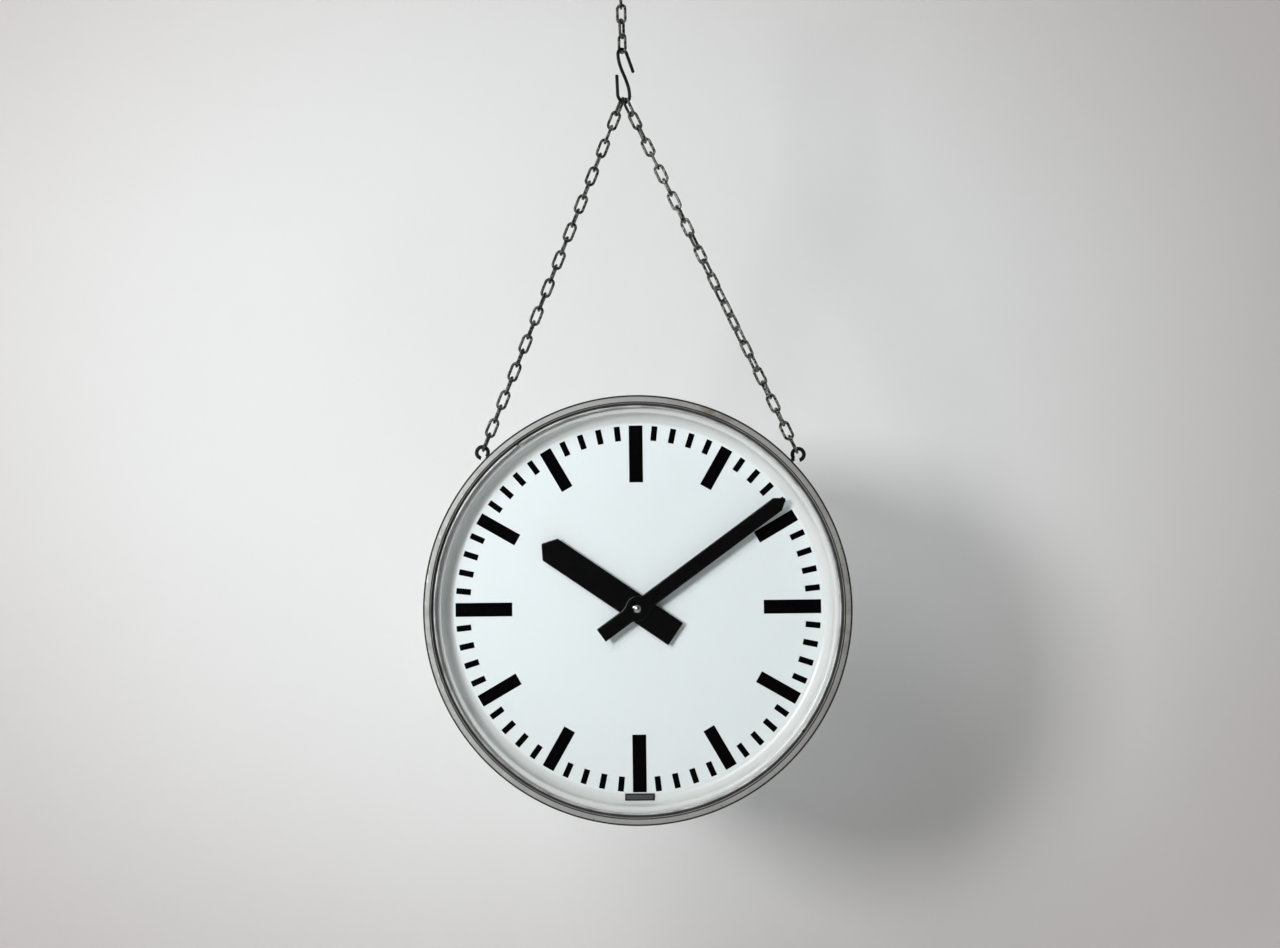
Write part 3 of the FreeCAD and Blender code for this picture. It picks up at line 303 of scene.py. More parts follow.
def chain_steel():
    """Zinc chain gone dull and black: the left leg and the upper chain most, the right leg least."""
    finish = Finish("chain_steel")
    worn_side = finish.x.rise(0.002, 0.05)
    blots = finish.speckle(2.6, 5.0, 0.6)
    grain = finish.speckle(0.7, 3.0, 0.7)
    bare = blots.rise(0.46, 0.56) * (0.32 + worn_side * 0.33)
    dark = finish.mixed(blots, rgb(3, 3, 3), rgb(16, 16, 15))
    colour = finish.mixed(bare, dark, rgb(160, 159, 156))
    rust = finish.speckle(5.5, 4.0).rise(0.60, 0.70) * 0.3
    colour = finish.mixed(rust, colour, rgb(84, 56, 38))
    return finish.surface(base_color=finish.shaded(colour, 0.8 + grain * 0.4),
                          metallic=0.2 + bare * 0.35, roughness=0.34 - bare * 0.06 + rust * 0.3,
                          specular=0.25,
                          normal=finish.bump(blots * 0.5 + grain * 0.4, 0.05))


def black_steel():
    """Blackened wire, rubbed brighter in spots."""
    finish = Finish("black_steel")
    blots = finish.speckle(4.0, 5.0, 0.6)
    grain = finish.speckle(0.6, 3.0, 0.7)
    rubbed = blots.rise(0.64, 0.74)
    colour = finish.mixed(rubbed * 0.6, rgb(4, 4, 5), rgb(84, 82, 80))
    return finish.surface(base_color=finish.shaded(colour, 0.8 + grain * 0.4), metallic=0.15,
                          roughness=0.36 + blots * 0.2, specular=0.2,
                          normal=finish.bump(grain + blots, 0.05))


def dial_white():
    """Baked white enamel with a very light dust; painted shade makes it a little darker low down and
    greyer on the reveal.
    """
    reveal_start = 0.1868
    reveal_full = 0.1900
    finish = Finish("dial_white")
    dust = finish.speckle(60.0, 5.0, 0.6)
    peel = finish.speckle(1.6, 2.0, 0.4)
    # Painted shade: the dial is painted a little darker towards the bottom.
    lower = (0 - finish.height()).rise(-0.02, 0.19)
    colour = finish.mixed(lower * 0.5, rgb(231, 238, 240), rgb(222, 228, 228))
    # Painted shade: the hollow reveal is painted greyer and darker than the face.
    reveal = finish.radius().rise(reveal_start, reveal_full)
    colour = finish.mixed(reveal, colour, rgb(216, 218, 217))
    colour = finish.shaded(colour, 0.985 + dust * 0.03)
    return finish.surface(base_color=colour, roughness=0.34 + dust * 0.1, coat_weight=0.25,
                          coat_roughness=0.12, normal=finish.bump(peel, 0.006))


def black_print():
    """Black screen print with a matt, slightly uneven coat."""
    finish = Finish("black_print")
    cover = finish.speckle(2.5, 4.0)
    colour = finish.mixed(cover, rgb(1, 1, 1), rgb(5, 5, 5))
    return finish.surface(base_color=colour, roughness=0.70 + cover * 0.15,
                          specular=0.02, normal=finish.bump(cover, 0.01))


def label_grey():
    """Dark border of the label."""
    finish = Finish("label_grey")
    brush = finish.speckle(1.2, 3.0, 0.6, finish.stretched(0.12, 1.0, 1.0))
    colour = finish.mixed(brush, rgb(12, 13, 13), rgb(24, 26, 26))
    return finish.surface(base_color=colour, specular=0.3, roughness=0.5 + brush * 0.15,
                          normal=finish.bump(brush, 0.01))


def label_panel():
    """Brushed inset of the label, left blank."""
    finish = Finish("label_panel")
    brush = finish.speckle(0.8, 3.0, 0.6, finish.stretched(0.12, 1.0, 1.0))
    colour = finish.mixed(brush, rgb(46, 48, 48), rgb(72, 75, 75))
    return finish.surface(base_color=colour, specular=0.3, roughness=0.5 + brush * 0.15,
                          normal=finish.bump(brush, 0.01))


def hand_black():
    """Satin black stove paint."""
    finish = Finish("hand_black")
    cloud = finish.speckle(9.0, 4.0)
    peel = finish.speckle(0.9, 2.0)
    colour = finish.mixed(cloud, rgb(1, 1, 2), rgb(5, 5, 5))
    return finish.surface(base_color=colour, roughness=0.14 + cloud * 0.06, specular=0.24,
                          normal=finish.bump(peel, 0.012))


def nut_chrome():
    """Polished metal, dulled in a fine cloud."""
    finish = Finish("nut_chrome")
    cloud = finish.speckle(1.5, 4.0)
    colour = finish.mixed(cloud, rgb(150, 151, 150), rgb(196, 197, 196))
    return finish.surface(base_color=colour, metallic=1.0, roughness=0.08 + cloud * 0.10,
                          normal=finish.bump(cloud, 0.01))


def clear_glass():
    """Thin window glass: nearly all light goes straight through, a little is mirrored."""
    finish = Finish("glass")
    smear = finish.speckle(45.0, 5.0, 0.6)
    clear = finish.node("ShaderNodeBsdfTransparent", {}, {"Color": (0.992, 0.996, 0.995, 1.0)})
    gloss = finish.node("ShaderNodeBsdfPrincipled", {}, {
        "Base Color": rgb(236, 242, 242), "Metallic": 1.0, "Roughness": 0.02 + smear * 0.05})
    edge = finish.node("ShaderNodeFresnel", {}, {"IOR": 1.35})
    far_face = finish.node("ShaderNodeNewGeometry", output="Backfacing")
    share = ((edge - 0.022) * 1.4 + smear * 0.003).at_least(0.0) * (1 - far_face)
    return finish.finished(finish.node("ShaderNodeMixShader", {}, {0: share, 1: clear, 2: gloss}))


def rubber():
    """Black rubber with dust on it."""
    finish = Finish("rubber")
    dust = finish.speckle(2.0, 5.0, 0.65)
    colour = finish.mixed(dust.rise(0.5, 0.8), rgb(20, 20, 20), rgb(54, 53, 51))
    return finish.surface(base_color=colour, roughness=0.7 + dust * 0.15,
                          normal=finish.bump(dust, 0.03))


def brass():
    """Brushed movement brass, browned in patches."""
    finish = Finish("brass")
    brush = finish.speckle(0.8, 3.0, 0.6, finish.stretched(0.08, 1.0, 1.0))
    tarnish = finish.speckle(9.0, 5.0).rise(0.45, 0.75)
    colour = finish.mixed(tarnish * 0.6, rgb(206, 170, 96), rgb(140, 104, 54))
    return finish.surface(base_color=finish.shaded(colour, 0.88 + brush * 0.24), metallic=1.0,
                          roughness=0.26 + tarnish * 0.2 + brush * 0.08,
                          normal=finish.bump(brush, 0.015))


def soft_iron():
    """Stacked, oiled iron sheets."""
    finish = Finish("iron")
    sheets = finish.node("ShaderNodeTexWave", {"bands_direction": "Y"},
                         {"Vector": finish.place, "Scale": 320.0, "Distortion": 0.4})
    cloud = finish.speckle(3.0)
    colour = finish.mixed(cloud, rgb(74, 76, 80), rgb(108, 108, 108))
    return finish.surface(base_color=finish.shaded(colour, 0.8 + sheets * 0.2), metallic=0.9,
                          roughness=0.38 + cloud * 0.15, normal=finish.bump(sheets + cloud, 0.03))


def copper():
    """Fine enamelled wire wound side by side."""
    finish = Finish("copper")
    turns = finish.node("ShaderNodeTexWave", {"bands_direction": "X"},
                        {"Vector": finish.place, "Scale": 800.0, "Distortion": 0.2})
    cloud = finish.speckle(2.0)
    colour = finish.mixed(cloud, rgb(150, 76, 36), rgb(188, 104, 52))
    return finish.surface(base_color=finish.shaded(colour, 0.7 + turns * 0.35), metallic=0.8,
                          roughness=0.32 + cloud * 0.1, normal=finish.bump(turns, 0.05))


def terminal_plastic():
    """Yellowed moulding."""
    finish = Finish("terminal_plastic")
    cloud = finish.speckle(4.0, 4.0)
    grain = finish.speckle(0.4, 2.0)
    colour = finish.mixed(cloud, rgb(206, 200, 184), rgb(222, 217, 202))
    return finish.surface(base_color=colour, roughness=0.42 + cloud * 0.12,
                          normal=finish.bump(grain, 0.015))


slot_finishes = {
    "case_paint": case_paint(), "ring_steel": ring_steel(), "zinc_steel": zinc_steel(),
    "chain_steel": chain_steel(), "black_steel": black_steel(), "dial_white": dial_white(),
    "black_print": black_print(), "label_grey": label_grey(), "label_panel": label_panel(),
    "hand_black": hand_black(), "nut_chrome": nut_chrome(), "glass": clear_glass(),
    "rubber": rubber(), "brass": brass(), "iron": soft_iron(), "copper": copper(),
    "terminal_plastic": terminal_plastic(),
}


# ---- shapes --------------------------------------------------------------------------------------
def hung(mesh, lean, rear=False):
    """Carry a mesh from the upright clock, in millimetres, to its place in the frame."""
    turn = Matrix.Rotation(math.radians(lean), 4, "Y")
    half_turn = Matrix.Rotation(math.pi, 4, "Z") if rear else Matrix.Identity(4)
    drop = Matrix.Translation((0.0, 0.0, case_centre_z))
    mesh.transform(Matrix.Scale(mm, 4) @ drop @ turn @ half_turn)
    return mesh


def piece(name, mesh, body, slot, nodes=(), finish=None):
    """Put a finished mesh on its body, in its finish, in place of the nodes it stands for."""
    made = bpy.data.objects.new(name, mesh)
    bpy.context.scene.collection.objects.link(made)
    mesh.materials.append(slot_finishes[finish or slot])
    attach(made, body)
    if nodes:
        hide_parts(*nodes)


def mesh_of(build, name, smooth_angle=35.0, join=0.0005):
    """A new mesh from a bmesh that build fills, smooth except at its sharp edges."""
    shape = bmesh.new()
    build(shape)
    if join:
        bmesh.ops.remove_doubles(shape, verts=shape.verts, dist=join)
    bmesh.ops.recalc_face_normals(shape, faces=shape.faces)
    mesh = bpy.data.meshes.new(name)
    shape.to_mesh(mesh)
    shape.free()
    mesh.shade_smooth()
    mesh.set_sharp_from_angle(angle=math.radians(smooth_angle))
    return mesh


def skin(shape, rows):
    """Faces between each closed row of points and the next one."""
    for lower, upper in zip(rows, rows[1:]):
        for number in range(len(lower)):
            after = (number + 1) % len(lower)
            shape.faces.new((lower[number], lower[after], upper[after], upper[number]))


def turned_ring(profile, steps, start=0.0, sweep=360.0):
    """A closed profile of (radius, depth) pairs turned round the dial's axis from a clock angle."""
    def build(shape):
        whole = abs(sweep - 360.0) < 1e-6
        rows = []
        for number in range(steps if whole else steps + 1):
            angle = math.radians(start + sweep * number / steps)
            rows.append([shape.verts.new((radius * math.sin(angle), depth, radius * math.cos(angle)))
                         for radius, depth in profile])
        count = len(profile)
        pairs = list(zip(rows, rows[1:] + rows[:1])) if whole else list(zip(rows, rows[1:]))
        for row, following in pairs:
            for number in range(count):
                after = (number + 1) % count
                shape.faces.new((row[number], following[number], following[after], row[after]))
        if not whole:
            shape.faces.new(rows[0])
            shape.faces.new(list(reversed(rows[-1])))
    return build


def arc(centre_radius, centre_depth, radius, start, end, steps):
    """Points of an arc in a profile; 0 degrees points outward, 90 to the back."""
    points = []
    for number in range(steps + 1):
        angle = math.radians(start + (end - start) * number / steps)
        points.append((centre_radius + radius * math.cos(angle),
                       centre_depth + radius * math.sin(angle)))
    return points


def bevelled(node_name, width):
    """Round off the sharp edges of a built node, which has its points once for each face."""
    node = frame["nodes"][node_name]
    weld = node.modifiers.new("weld", "WELD")
    weld.merge_threshold = 0.00001
    bevel = node.modifiers.new("bevel", "BEVEL")
    bevel.width = width * mm
    bevel.segments = 2
    bevel.limit_method = "ANGLE"
    bevel.angle_limit = math.radians(40.0)


def make_split_rings():
    """Two spring halves with a round bead along the inner edge, on each side."""
    outer = 207.5
    inner = 202.6
    bead_radius = 1.1
    joints = (-36.3, 125.6)
    gap = math.degrees(2.4 / outer)
    profile = arc(inner + bead_radius, ring_front_y, bead_radius, -180.0, 0.0, 12)
    profile += [(outer - 0.3, ring_front_y), (outer, ring_front_y + 0.3), (outer, ring_back_y),
                (inner, ring_back_y)]

    def build(shape):
        for start, end in zip(joints, (joints[1], joints[0] + 360.0)):
            turned_ring(profile, 260, start + gap / 2, end - start - gap)(shape)
    for side in sides:
        mesh = hung(mesh_of(build, side + "_split_ring_halves"), case_lean, side == "rear")
        piece(side + "_split_ring_halves", mesh, "case", "ring_steel", [side + "_split_ring"])


def make_bezels():
    """Pressed rings with a slightly crowned band, a seam beside the lip and countersunk screw holes."""
    edge_round = 1.2
    skirt_end = -40.0
    wall = 1.5
    crown = 0.4                  # how far the band falls back towards its outer edge
    seam = 207.85
    fold = 209.2                 # outer side of the inner fold that reaches back to the dial
    lip_back = -57.2
    band_back = -58.0
    band_start = 208.3
    band_end = case_radius - edge_round
    profile = [(lip_radius, lip_back), (lip_radius, front_face_y + 0.5)]
    profile += arc(lip_radius + 0.4, front_face_y + 0.4, 0.4, 180.0, 270.0, 4)
    profile += [(seam - 0.3, front_face_y), (seam, front_face_y + 0.5), (seam + 0.3, front_face_y)]
    for step in range(9):
        share = step / 8
        profile.append((band_start + (band_end - band_start) * share,
                        front_face_y + crown * share ** 2))
    profile += arc(band_end, front_face_y + crown + edge_round, edge_round, -72.0, 0.0, 6)
    profile += [(case_radius, skirt_end - 0.3), (case_radius - 0.3, skirt_end),
                (case_radius - wall, skirt_end), (case_radius - wall, band_back),
                (fold, band_back), (fold, dial_flange_y), (groove_radius, dial_flange_y),
                (groove_radius, lip_back)]
    for side in sides:
        mesh = mesh_of(turned_ring(profile, 480), side + "_bezel_ring")
        cutter = mesh_of(screw_sinks, "screw_sinks")
        mesh = hung(cut(mesh, cutter), case_lean, side == "rear")
        piece(side + "_bezel_ring", mesh, "case", "case_paint", [side + "_bezel"])


def screw_sinks(shape):
    """Countersinks at the four bezel screws."""
    screw_y = -45.0
    around = 32
    for angle in (45.0, 135.0, 225.0, 315.0):
        turn = Matrix.Rotation(math.radians(angle), 4, "Y")
        place = turn @ Matrix.Translation((0.0, screw_y, 0.0))
        rings = []
        for radius, reach in ((1.6, 210.0), (1.6, 213.6), (3.0, 215.0), (3.0, 218.0)):
            rings.append([
                shape.verts.new(place @ Vector((radius * math.cos(math.tau * step / around),
                                                radius * math.sin(math.tau * step / around), reach)))
                for step in range(around)])
        skin(shape, rings)
        shape.faces.new(list(reversed(rings[0])))
        shape.faces.new(rings[-1])


def cut(mesh, cutter):
    """The mesh with the cutter's volume taken away."""
    body = bpy.data.objects.new("cut_body", mesh)
    tool = bpy.data.objects.new("cut_tool", cutter)
    for made in (body, tool):
        bpy.context.scene.collection.objects.link(made)
    knife = body.modifiers.new("cut", "BOOLEAN")
    knife.operation = "DIFFERENCE"
    knife.solver = "EXACT"
    knife.object = tool
    bpy.context.view_layer.update()
    whole = bpy.data.meshes.new_from_object(
        body.evaluated_get(bpy.context.evaluated_depsgraph_get()))
    for made in (body, tool):
        bpy.data.objects.remove(made)
    whole.shade_smooth()
    whole.set_sharp_from_angle(angle=math.radians(35.0))
    return whole


def make_dials():
    """Enamelled pans: flat face, hollow reveal, rolled front edge and the flange behind the glass."""
    bore = 6.5
    flat = 187.0
    hollow = 10.5
    edge = 197.5
    roll = 4.0
    sheet = 1.0
    flange = 211.5
    profile = [(bore, dial_face_y)]
    for radius in (20.0, 60.0, 120.0, 170.0):
        profile.append((radius, dial_face_y))
    profile += arc(flat, dial_face_y - hollow, hollow, 90.0, 0.0, 16)
    profile += arc(edge + roll, dial_flange_y + roll, roll, 180.0, 270.0, 10)
    profile += [(flange, dial_flange_y), (flange, drum_end_y)]
    profile += [(edge + sheet, drum_end_y), (edge + sheet, dial_face_y - hollow)]
    profile += arc(flat, dial_face_y - hollow, hollow + sheet, 0.0, 90.0, 12)
    profile += [(bore, dial_face_y + sheet)]
    for side in sides:
        mesh = hung(mesh_of(turned_ring(profile, 480), side + "_dial_pan"), dial_lean,
                    side == "rear")
        piece(side + "_dial_pan", mesh, "case", "dial_white", [side + "_dial"])


def inset_outline(outline, inset):
    """The outline, (x, z) pairs counterclockwise, moved inward by this much."""
    count = len(outline)
    moved = []
    for number, point in enumerate(outline):
        before = Vector(point) - Vector(outline[number - 1])
        after = Vector(outline[(number + 1) % count]) - Vector(point)
        first = Vector((-before.y, before.x)).normalized()
        second = Vector((-after.y, after.x)).normalized()
        moved.append(Vector(point) + (first + second) / (1 + first.dot(second)) * inset)
    return moved


def stacked(outline, levels):
    """A plate through the outline at each level: how far it is moved in, and at what depth."""
    def build(shape):
        rows = [[shape.verts.new((x, depth, z)) for x, z in inset_outline(outline, inset)]
                for inset, depth in levels]
        skin(shape, rows)
        shape.faces.new(rows[0])
        shape.faces.new(rows[-1])
    return build


def soft_plate(outline, front, back, edge):
    """A flat plate, its front edge broken by a steep and then a shallow slope of this width."""
    levels = [(0.0, back)]
    for inset, fall in ((0.0, 0.54), (0.25, 0.24), (0.54, 0.135), (0.79, 0.043), (1.0, 0.0),
                        (1.15, 0.0)):
        levels.append((edge * inset, front + edge * fall))
    return stacked(outline, levels)


def hand_tip(half, shoulder, tip):
    """The blunt point of a hand, from its right shoulder to its left one."""
    flat = 0.8
    return [(half, shoulder), (flat, tip), (-flat, tip), (-half, shoulder)]


def make_hour_hands():
    """Broad bars with a blunt point, on the collet of the hour wheel."""
    half = 13.5
    tail = -46.5
    shoulder = 107.0
    tip = 117.0
    front = -40.6
    back = -39.2
    edge = 1.2
    outline = [(-half, tail), (half, tail)] + hand_tip(half, shoulder, tip)
    collet = [(4.0, back), (9.0, back), (9.0, -36.9), (8.7, -36.8), (4.0, -36.8)]

    def build(shape):
        soft_plate(outline, front, back, edge)(shape)
        turned_ring(collet, 64)(shape)
    for side in sides:
        mesh = mesh_of(build, side + "_hour_hand_blade", 7.0)
        mesh.transform(Matrix.Rotation(math.radians(30 * shown_hours + shown_minutes / 2), 4, "Y"))
        piece(side + "_hour_hand_blade", hung(mesh, dial_lean, side == "rear"),
              side + "_hour_works", "hand_black", [side + "_hour_hand"])


def hub_outline(half, hub, hollow):
    """Right half of the bar and its hub, from below to above: hollow corner, hub, hollow corner."""
    reach = hub + hollow
    centre_x = half + hollow
    centre_z = math.sqrt(reach ** 2 - centre_x ** 2)
    touch = math.degrees(math.atan2(centre_z, centre_x))
    points = []
    for number in range(9):
        angle = math.radians(180.0 - touch * number / 8)
        points.append((centre_x + hollow * math.cos(angle), -centre_z + hollow * math.sin(angle)))
    for number in range(1, 16):
        angle = math.radians(-touch + 2 * touch * number / 16)
        points.append((hub * math.cos(angle), hub * math.sin(angle)))
    for number in range(9):
        angle = math.radians(180.0 + touch - touch * number / 8)
        points.append((centre_x + hollow * math.cos(angle), centre_z + hollow * math.sin(angle)))
    return points


def make_minute_hands():
    """Narrow bars with a round hub, a collar for the nut and a collet behind."""
    half = 7.75
    tail = -45.5
    shoulder = 176.5
    tip = 186.0
    front = -46.4
    back = -45.0
    edge = 1.2
    hub_radius = 12.7
    corner_hollow = 10.0
    right = hub_outline(half, hub_radius, corner_hollow)
    left = [(-x, -z) for x, z in right]
    outline = [(-half, tail), (half, tail)] + right + hand_tip(half, shoulder, tip) + left
    collar_radius = 6.0
    collar_front = -47.7
    rounding = 0.4
    collar = arc(collar_radius - rounding, collar_front + rounding, rounding, -90.0, 0.0, 4)
    collar += [(collar_radius, -46.3), (2.0, -46.3), (2.0, collar_front)]
    collet = [(2.0, -45.1), (7.0, -45.1), (7.0, -42.8), (6.8, -42.6), (2.0, -42.6)]

    def build(shape):
        soft_plate(outline, front, back, edge)(shape)
        turned_ring(collar, 64)(shape)
        turned_ring(collet, 64)(shape)
    for side in sides:
        mesh = mesh_of(build, side + "_minute_hand_blade", 7.0)
        mesh.transform(Matrix.Rotation(math.radians(6 * shown_minutes), 4, "Y"))
        piece(side + "_minute_hand_blade", hung(mesh, dial_lean, side == "rear"),
              side + "_minute_works", "hand_black", [side + "_minute_hand"])


def make_hand_nuts():
    """Domed nuts with a turned step round the foot and the arbor's end in a small sink."""
    dome_radius = 3.7
    dome_top = -51.1
    dome_height = 2.2
    profile = [(0.3, -51.0), (0.85, -50.85), (0.95, -50.55), (1.15, -50.55), (1.3, -50.95)]
    for number in range(1, 11):
        slope = math.radians(22.0 + 68.0 * number / 10)
        profile.append((dome_radius * math.sin(slope),
                        dome_top + dome_height * (1 - math.cos(slope))))
    profile += [(dome_radius, -48.7), (3.4, -48.55), (3.4, -48.35), (4.0, -48.2), (4.0, -47.8),
                (3.9, -47.7), (0.3, -47.7)]
    for side in sides:
        mesh = mesh_of(turned_ring(profile, 72), side + "_hand_nut_dome")
        piece(side + "_hand_nut_dome", hung(mesh, dial_lean, side == "rear"),
              side + "_minute_works", "nut_chrome", [side + "_hand_nut"])


def make_labels():
    """Blank plates below the six: a dark border round a lighter sunk panel."""
    slope = -21.0                # of the foot of the reveal, where the plate is glued on
    tilt = Matrix.Rotation(math.radians(slope), 4, "X")
    place = Matrix.Translation((0.0, -34.882, -190.5)) @ tilt
    half_width = 15.0
    half_height = 3.6
    border = [(-half_width, -half_height), (half_width, -half_height),
              (half_width, half_height), (-half_width, half_height)]
    border_levels = ((0.0, 0.0), (0.0, -0.45), (0.15, -0.6), (1.15, -0.6), (1.3, -0.35))
    for side in sides:
        mesh = mesh_of(stacked(border, border_levels), side + "_label_frame")
        mesh.transform(place)
        piece(side + "_label_frame", hung(mesh, dial_lean, side == "rear"), "case", "label_grey",
              [side + "_dial_label"])
        mesh = mesh_of(soft_plate(inset_outline(border, 1.45), -0.5, -0.3, 0.1),
                       side + "_label_panel")
        mesh.transform(place)
        piece(side + "_label_panel", hung(mesh, dial_lean, side == "rear"), "case", "label_grey",
              finish="label_panel")


def wire(points, radius, end_radii, around=24):
    """A round wire along the points, thinner at its two ends."""
    def build(shape):
        last = len(points) - 1
        directions = []
        for number in range(len(points)):
            before = points[max(number - 1, 0)]
            after = points[min(number + 1, last)]
            directions.append((after - before).normalized())
        normal = directions[0].orthogonal().normalized()
        rows = []
        for number, (point, direction) in enumerate(zip(points, directions)):
            normal = (normal - direction * normal.dot(direction)).normalized()
            side = direction.cross(normal)
            thick = {0: end_radii[0], last: end_radii[1]}.get(number, radius)
            rows.append([
                shape.verts.new(point + (normal * math.cos(math.tau * step / around)
                                         + side * math.sin(math.tau * step / around)) * thick)
                for step in range(around)])
        skin(shape, rows)
        shape.faces.new(list(reversed(rows[0])))
        shape.faces.new(rows[-1])
    return build


def make_hook_wire():
    """The S-hook as one bent wire: its strand swings over in a soft S, the upper tail is tapered."""
    turn = math.radians(40.0)    # of the hook's plane from the dial's
    top = Vector((0.0, -95.75))
    bottom = Vector((0.0, -138.25))
    top_bend = 6.0
    bottom_bend = 8.0
    bend_end = 24.0              # where the upper bend runs out into the tail
    strand_steps = 24
    wire_radius = 1.75
    tail_radii = (0.9, 1.45)

    def toward(degrees):
        return Vector((math.cos(math.radians(degrees)), math.sin(math.radians(degrees))))

    def round_about(centre, radius, start, end, steps):
        return [centre + toward(start + (end - start) * step / steps) * radius
                for step in range(steps + 1)]

    tail_start = top + toward(bend_end) * top_bend
    slope = toward(bend_end - 90.0)
    path = [tail_start + slope * reach for reach in (21.0, 20.2, 17.0, 12.0, 6.0)]
    path += round_about(top, top_bend, bend_end, 180.0, 20)
    start = path[-1]
    end = bottom + Vector((bottom_bend, 0.0))
    pull = Vector((0.0, -17.0))
    for number in range(1, strand_steps):
        share = number / strand_steps
        rest = 1 - share
        path.append(start * rest ** 3 + (start + pull) * 3 * share * rest ** 2
                    + (end - pull) * 3 * share ** 2 * rest + end * share ** 3)
    path += round_about(bottom, bottom_bend, 0.0, -178.0, 24)
    path += [path[-1] + toward(91.0) * reach for reach in (6.0, 12.0, 19.5, 20.0)]
    points = [Vector((u * math.cos(turn), u * math.sin(turn), z)) * mm for u, z in path]
    build = wire(points, wire_radius * mm, [radius * mm for radius in tail_radii])
    mesh = mesh_of(build, "s_hook_wire", 40.0, join=0.0)
    piece("s_hook_wire", mesh, "s_hook", "black_steel", ["s_hook"])


# ---- dressing ------------------------------------------------------------------------------------
def paint_nodes():
    """Give every built node the finish of its own slot; the eye bolts are blackened as the hook is."""
    for part in frame["record"]["subparts"]:
        node = frame["nodes"][part["node"]]
        node.data.materials.clear()
        finish = "black_steel" if part["node"] == "eye_bolts" else part["material_slot"]
        node.data.materials.append(slot_finishes[finish])


def soften_edges():
    """Worn, rounded edges on the small hardware that stays as it was built."""
    for name, width in (("ceiling_plate", 0.7), ("cable_grommet", 0.8), ("eye_nuts", 0.35),
                        ("eye_washers", 0.25), ("eye_bolts", 0.4), ("bezel_screws", 0.2)):
        bevelled(name, width)


# ---- studio --------------------------------------------------------------------------------------
def stage_piece(name, build, finish):
    """A part of the studio, not of the clock."""
    shape = bmesh.new()
    build(shape)
    mesh = bpy.data.meshes.new(name)
    shape.to_mesh(mesh)
    shape.free()
    mesh.materials.append(finish.material)
    made = bpy.data.objects.new(name, mesh)
    bpy.context.scene.collection.objects.link(made)


def make_floor():
    """A round pale floor; its far part, which the lamps don't reach, is lit for the camera."""
    around = 96
    finish = Finish("studio_floor_paint")
    cloud = finish.speckle(300.0)
    colour = finish.mixed(cloud, rgb(214, 215, 214), rgb(224, 225, 224))
    seen = finish.node("ShaderNodeLightPath", output="Is Camera Ray")
    away = (finish.x * finish.x + finish.y * finish.y) ** 0.5
    glow = finish.mixed(seen * away.rise(1.0, 3.4), rgb(0, 0, 0), rgb(172, 173, 172))
    finish.surface(base_color=colour, roughness=0.8, emission_color=glow, emission_strength=1.0)

    def build(shape):
        rings = []
        for radius in (3.6, 2.4, 1.2, 0.0006):
            rings.append([shape.verts.new((radius * math.cos(math.tau * step / around),
                                           radius * math.sin(math.tau * step / around), floor_z))
                          for step in range(around)])
        skin(shape, rings)
    stage_piece("studio_floor", build, finish)


def make_wall():
    """A pale wall behind the clock, seen only from its front: it takes the clock's soft shadow.

    Its colour is painted darker away from the middle and near the side lamps, a painted shade. Beyond
    the lamps' reach it is lit itself by a painted glow.
    """
    finish = Finish("studio_wall_paint")
    cloud = finish.speckle(500.0, 4.0)
    across = finish.x + 0.1
    height = finish.z + 0.4
    away = (across * across * 0.8 + height * height) ** 0.5
    colour = finish.mixed(cloud, rgb(236, 238, 238), rgb(229, 230, 229))
    # Painted shade: darker away from the middle and towards the far sides.
    colour = finish.mixed(away.rise(0.3, 1.25), colour, rgb(192, 186, 185))
    colour = finish.mixed(abs(across).rise(1.2, 2.1), colour, rgb(90, 88, 88))
    painted_glow = finish.mixed(away.rise(0.9, 1.9), rgb(0, 0, 0), rgb(176, 175, 174))
    paint = finish.node("ShaderNodeBsdfPrincipled", {}, {
        "Base Color": colour, "Roughness": 0.9, "Specular IOR Level": 0.0,
        "Emission Color": painted_glow, "Emission Strength": 1.0})
    clear = finish.node("ShaderNodeBsdfTransparent")
    seen = [finish.node("ShaderNodeLightPath", output=kind)
            for kind in ("Is Camera Ray", "Is Glossy Ray", "Is Transmission Ray")]
    back = finish.node("ShaderNodeNewGeometry", output="Backfacing")
    share = (seen[0] + seen[1] + seen[2]).at_most(1.0) * (1 - back)
    finish.finished(finish.node("ShaderNodeMixShader", {}, {0: share, 1: clear, 2: paint}))

    def build(shape):
        right = wall_half_width
        shape.faces.new([shape.verts.new((x, wall_y, z)) for x, z in (
            (-right, floor_z), (right, floor_z), (right, wall_top_z), (-right, wall_top_z))])
    stage_piece("studio_wall", build, finish)


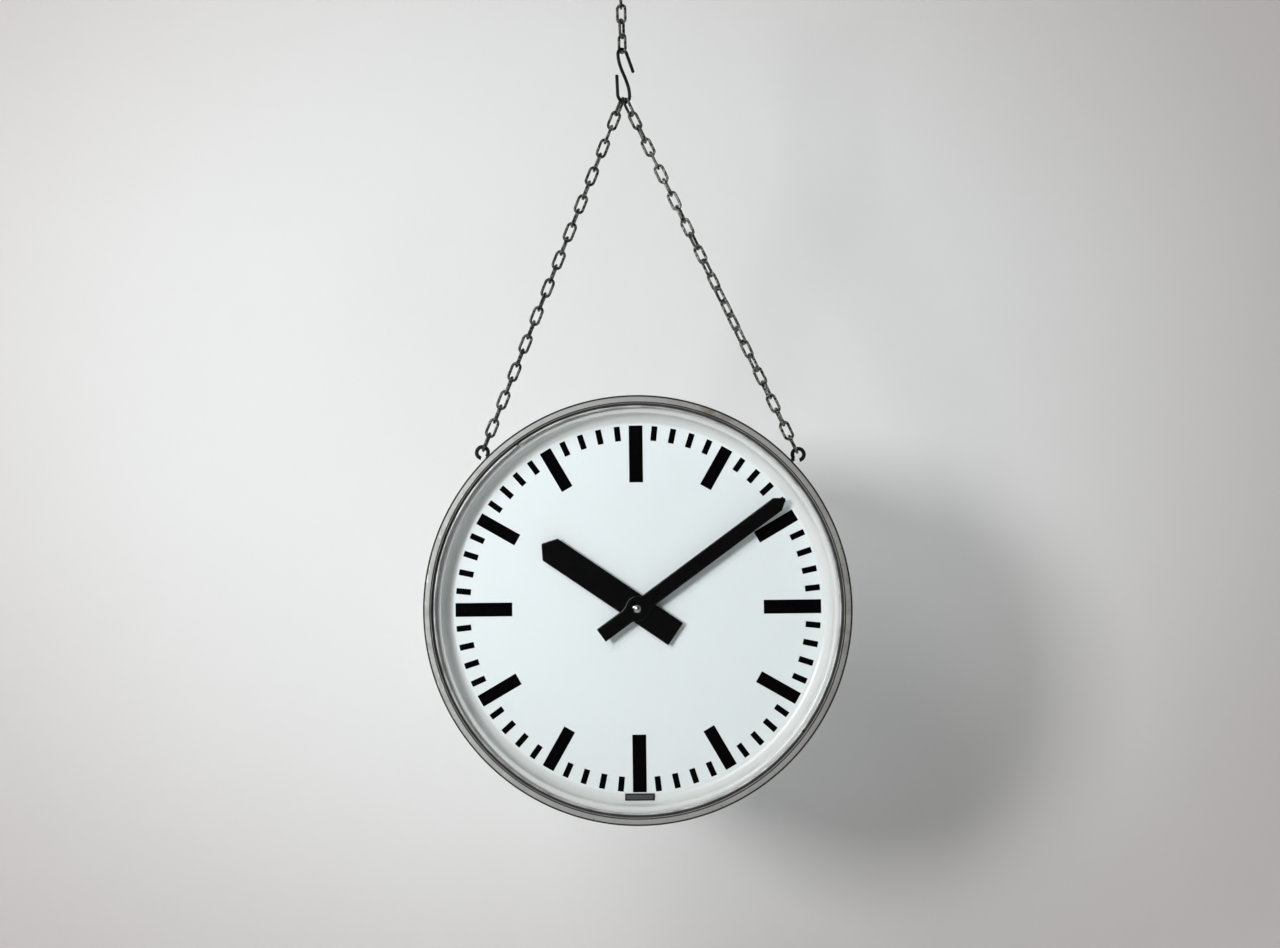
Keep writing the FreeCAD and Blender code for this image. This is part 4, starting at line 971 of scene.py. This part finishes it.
def area_light(name, place, width, power):
    """A square soft lamp, aimed at the middle of the clock."""
    data = bpy.data.lights.new(name, "AREA")
    data.shape = "RECTANGLE"
    data.size = width
    data.size_y = width
    data.energy = power
    lamp = bpy.data.objects.new(name, data)
    lamp.location = place
    lamp.rotation_mode = "QUATERNION"
    lamp.rotation_quaternion = (clock_middle - Vector(place)).to_track_quat("-Z", "Y")
    bpy.context.scene.collection.objects.link(lamp)


def light_world():
    """Pale surroundings: a plain background for the camera and through glass, softer as light."""
    world = bpy.data.worlds.new("studio")
    bpy.context.scene.world = world
    world.use_nodes = True
    nodes = Nodes(world.node_tree)
    seen = nodes.node("ShaderNodeLightPath", output="Is Camera Ray")
    seen = seen.at_least(nodes.node("ShaderNodeLightPath", output="Is Transmission Ray"))
    light = nodes.node("ShaderNodeBackground", {}, {"Color": rgb(255, 255, 255), "Strength": 0.13})
    shown = nodes.node("ShaderNodeBackground", {}, {"Color": rgb(214, 215, 214), "Strength": 1.0})
    sky = nodes.node("ShaderNodeMixShader", {}, {0: seen, 1: light, 2: shown})
    nodes.node("ShaderNodeOutputWorld", {}, {"Surface": sky})


def make_lamps():
    """A key and a high lamp before each dial, and one lamp at each side."""
    for name, turned in (("", 1), ("rear_", -1)):
        area_light(name + "key", (-1.21 * turned, -2.1 * turned, -0.17), 0.5, 37.0)
        area_light(name + "high", (-1.0 * turned, -2.0 * turned, 0.75), 0.9, 18.5)
    area_light("left_side", (-2.2, 0.0, 0.3), 0.8, 9.0)
    area_light("right_side", (2.2, 0.0, 0.3), 0.8, 9.0)


def make_camera():
    """The photograph's camera."""
    data = bpy.data.cameras.new("camera")
    data.sensor_width = sensor_width
    data.lens = focal_pixels / photo_width * sensor_width
    data.clip_end = 50.0
    camera = bpy.data.objects.new("camera", data)
    turn = Matrix((camera_right, camera_up, -camera_forward)).transposed()
    camera.matrix_world = Matrix.Translation(camera_place) @ turn.to_4x4()
    bpy.context.scene.collection.objects.link(camera)
    bpy.context.scene.camera = camera


make_camera()
light_world()
make_lamps()
make_floor()
make_wall()
paint_nodes()
make_bezels()
make_split_rings()
make_dials()
make_hour_hands()
make_minute_hands()
make_hand_nuts()
make_labels()
make_hook_wire()
soften_edges()

bpy.context.scene.view_settings.view_transform = "Standard"
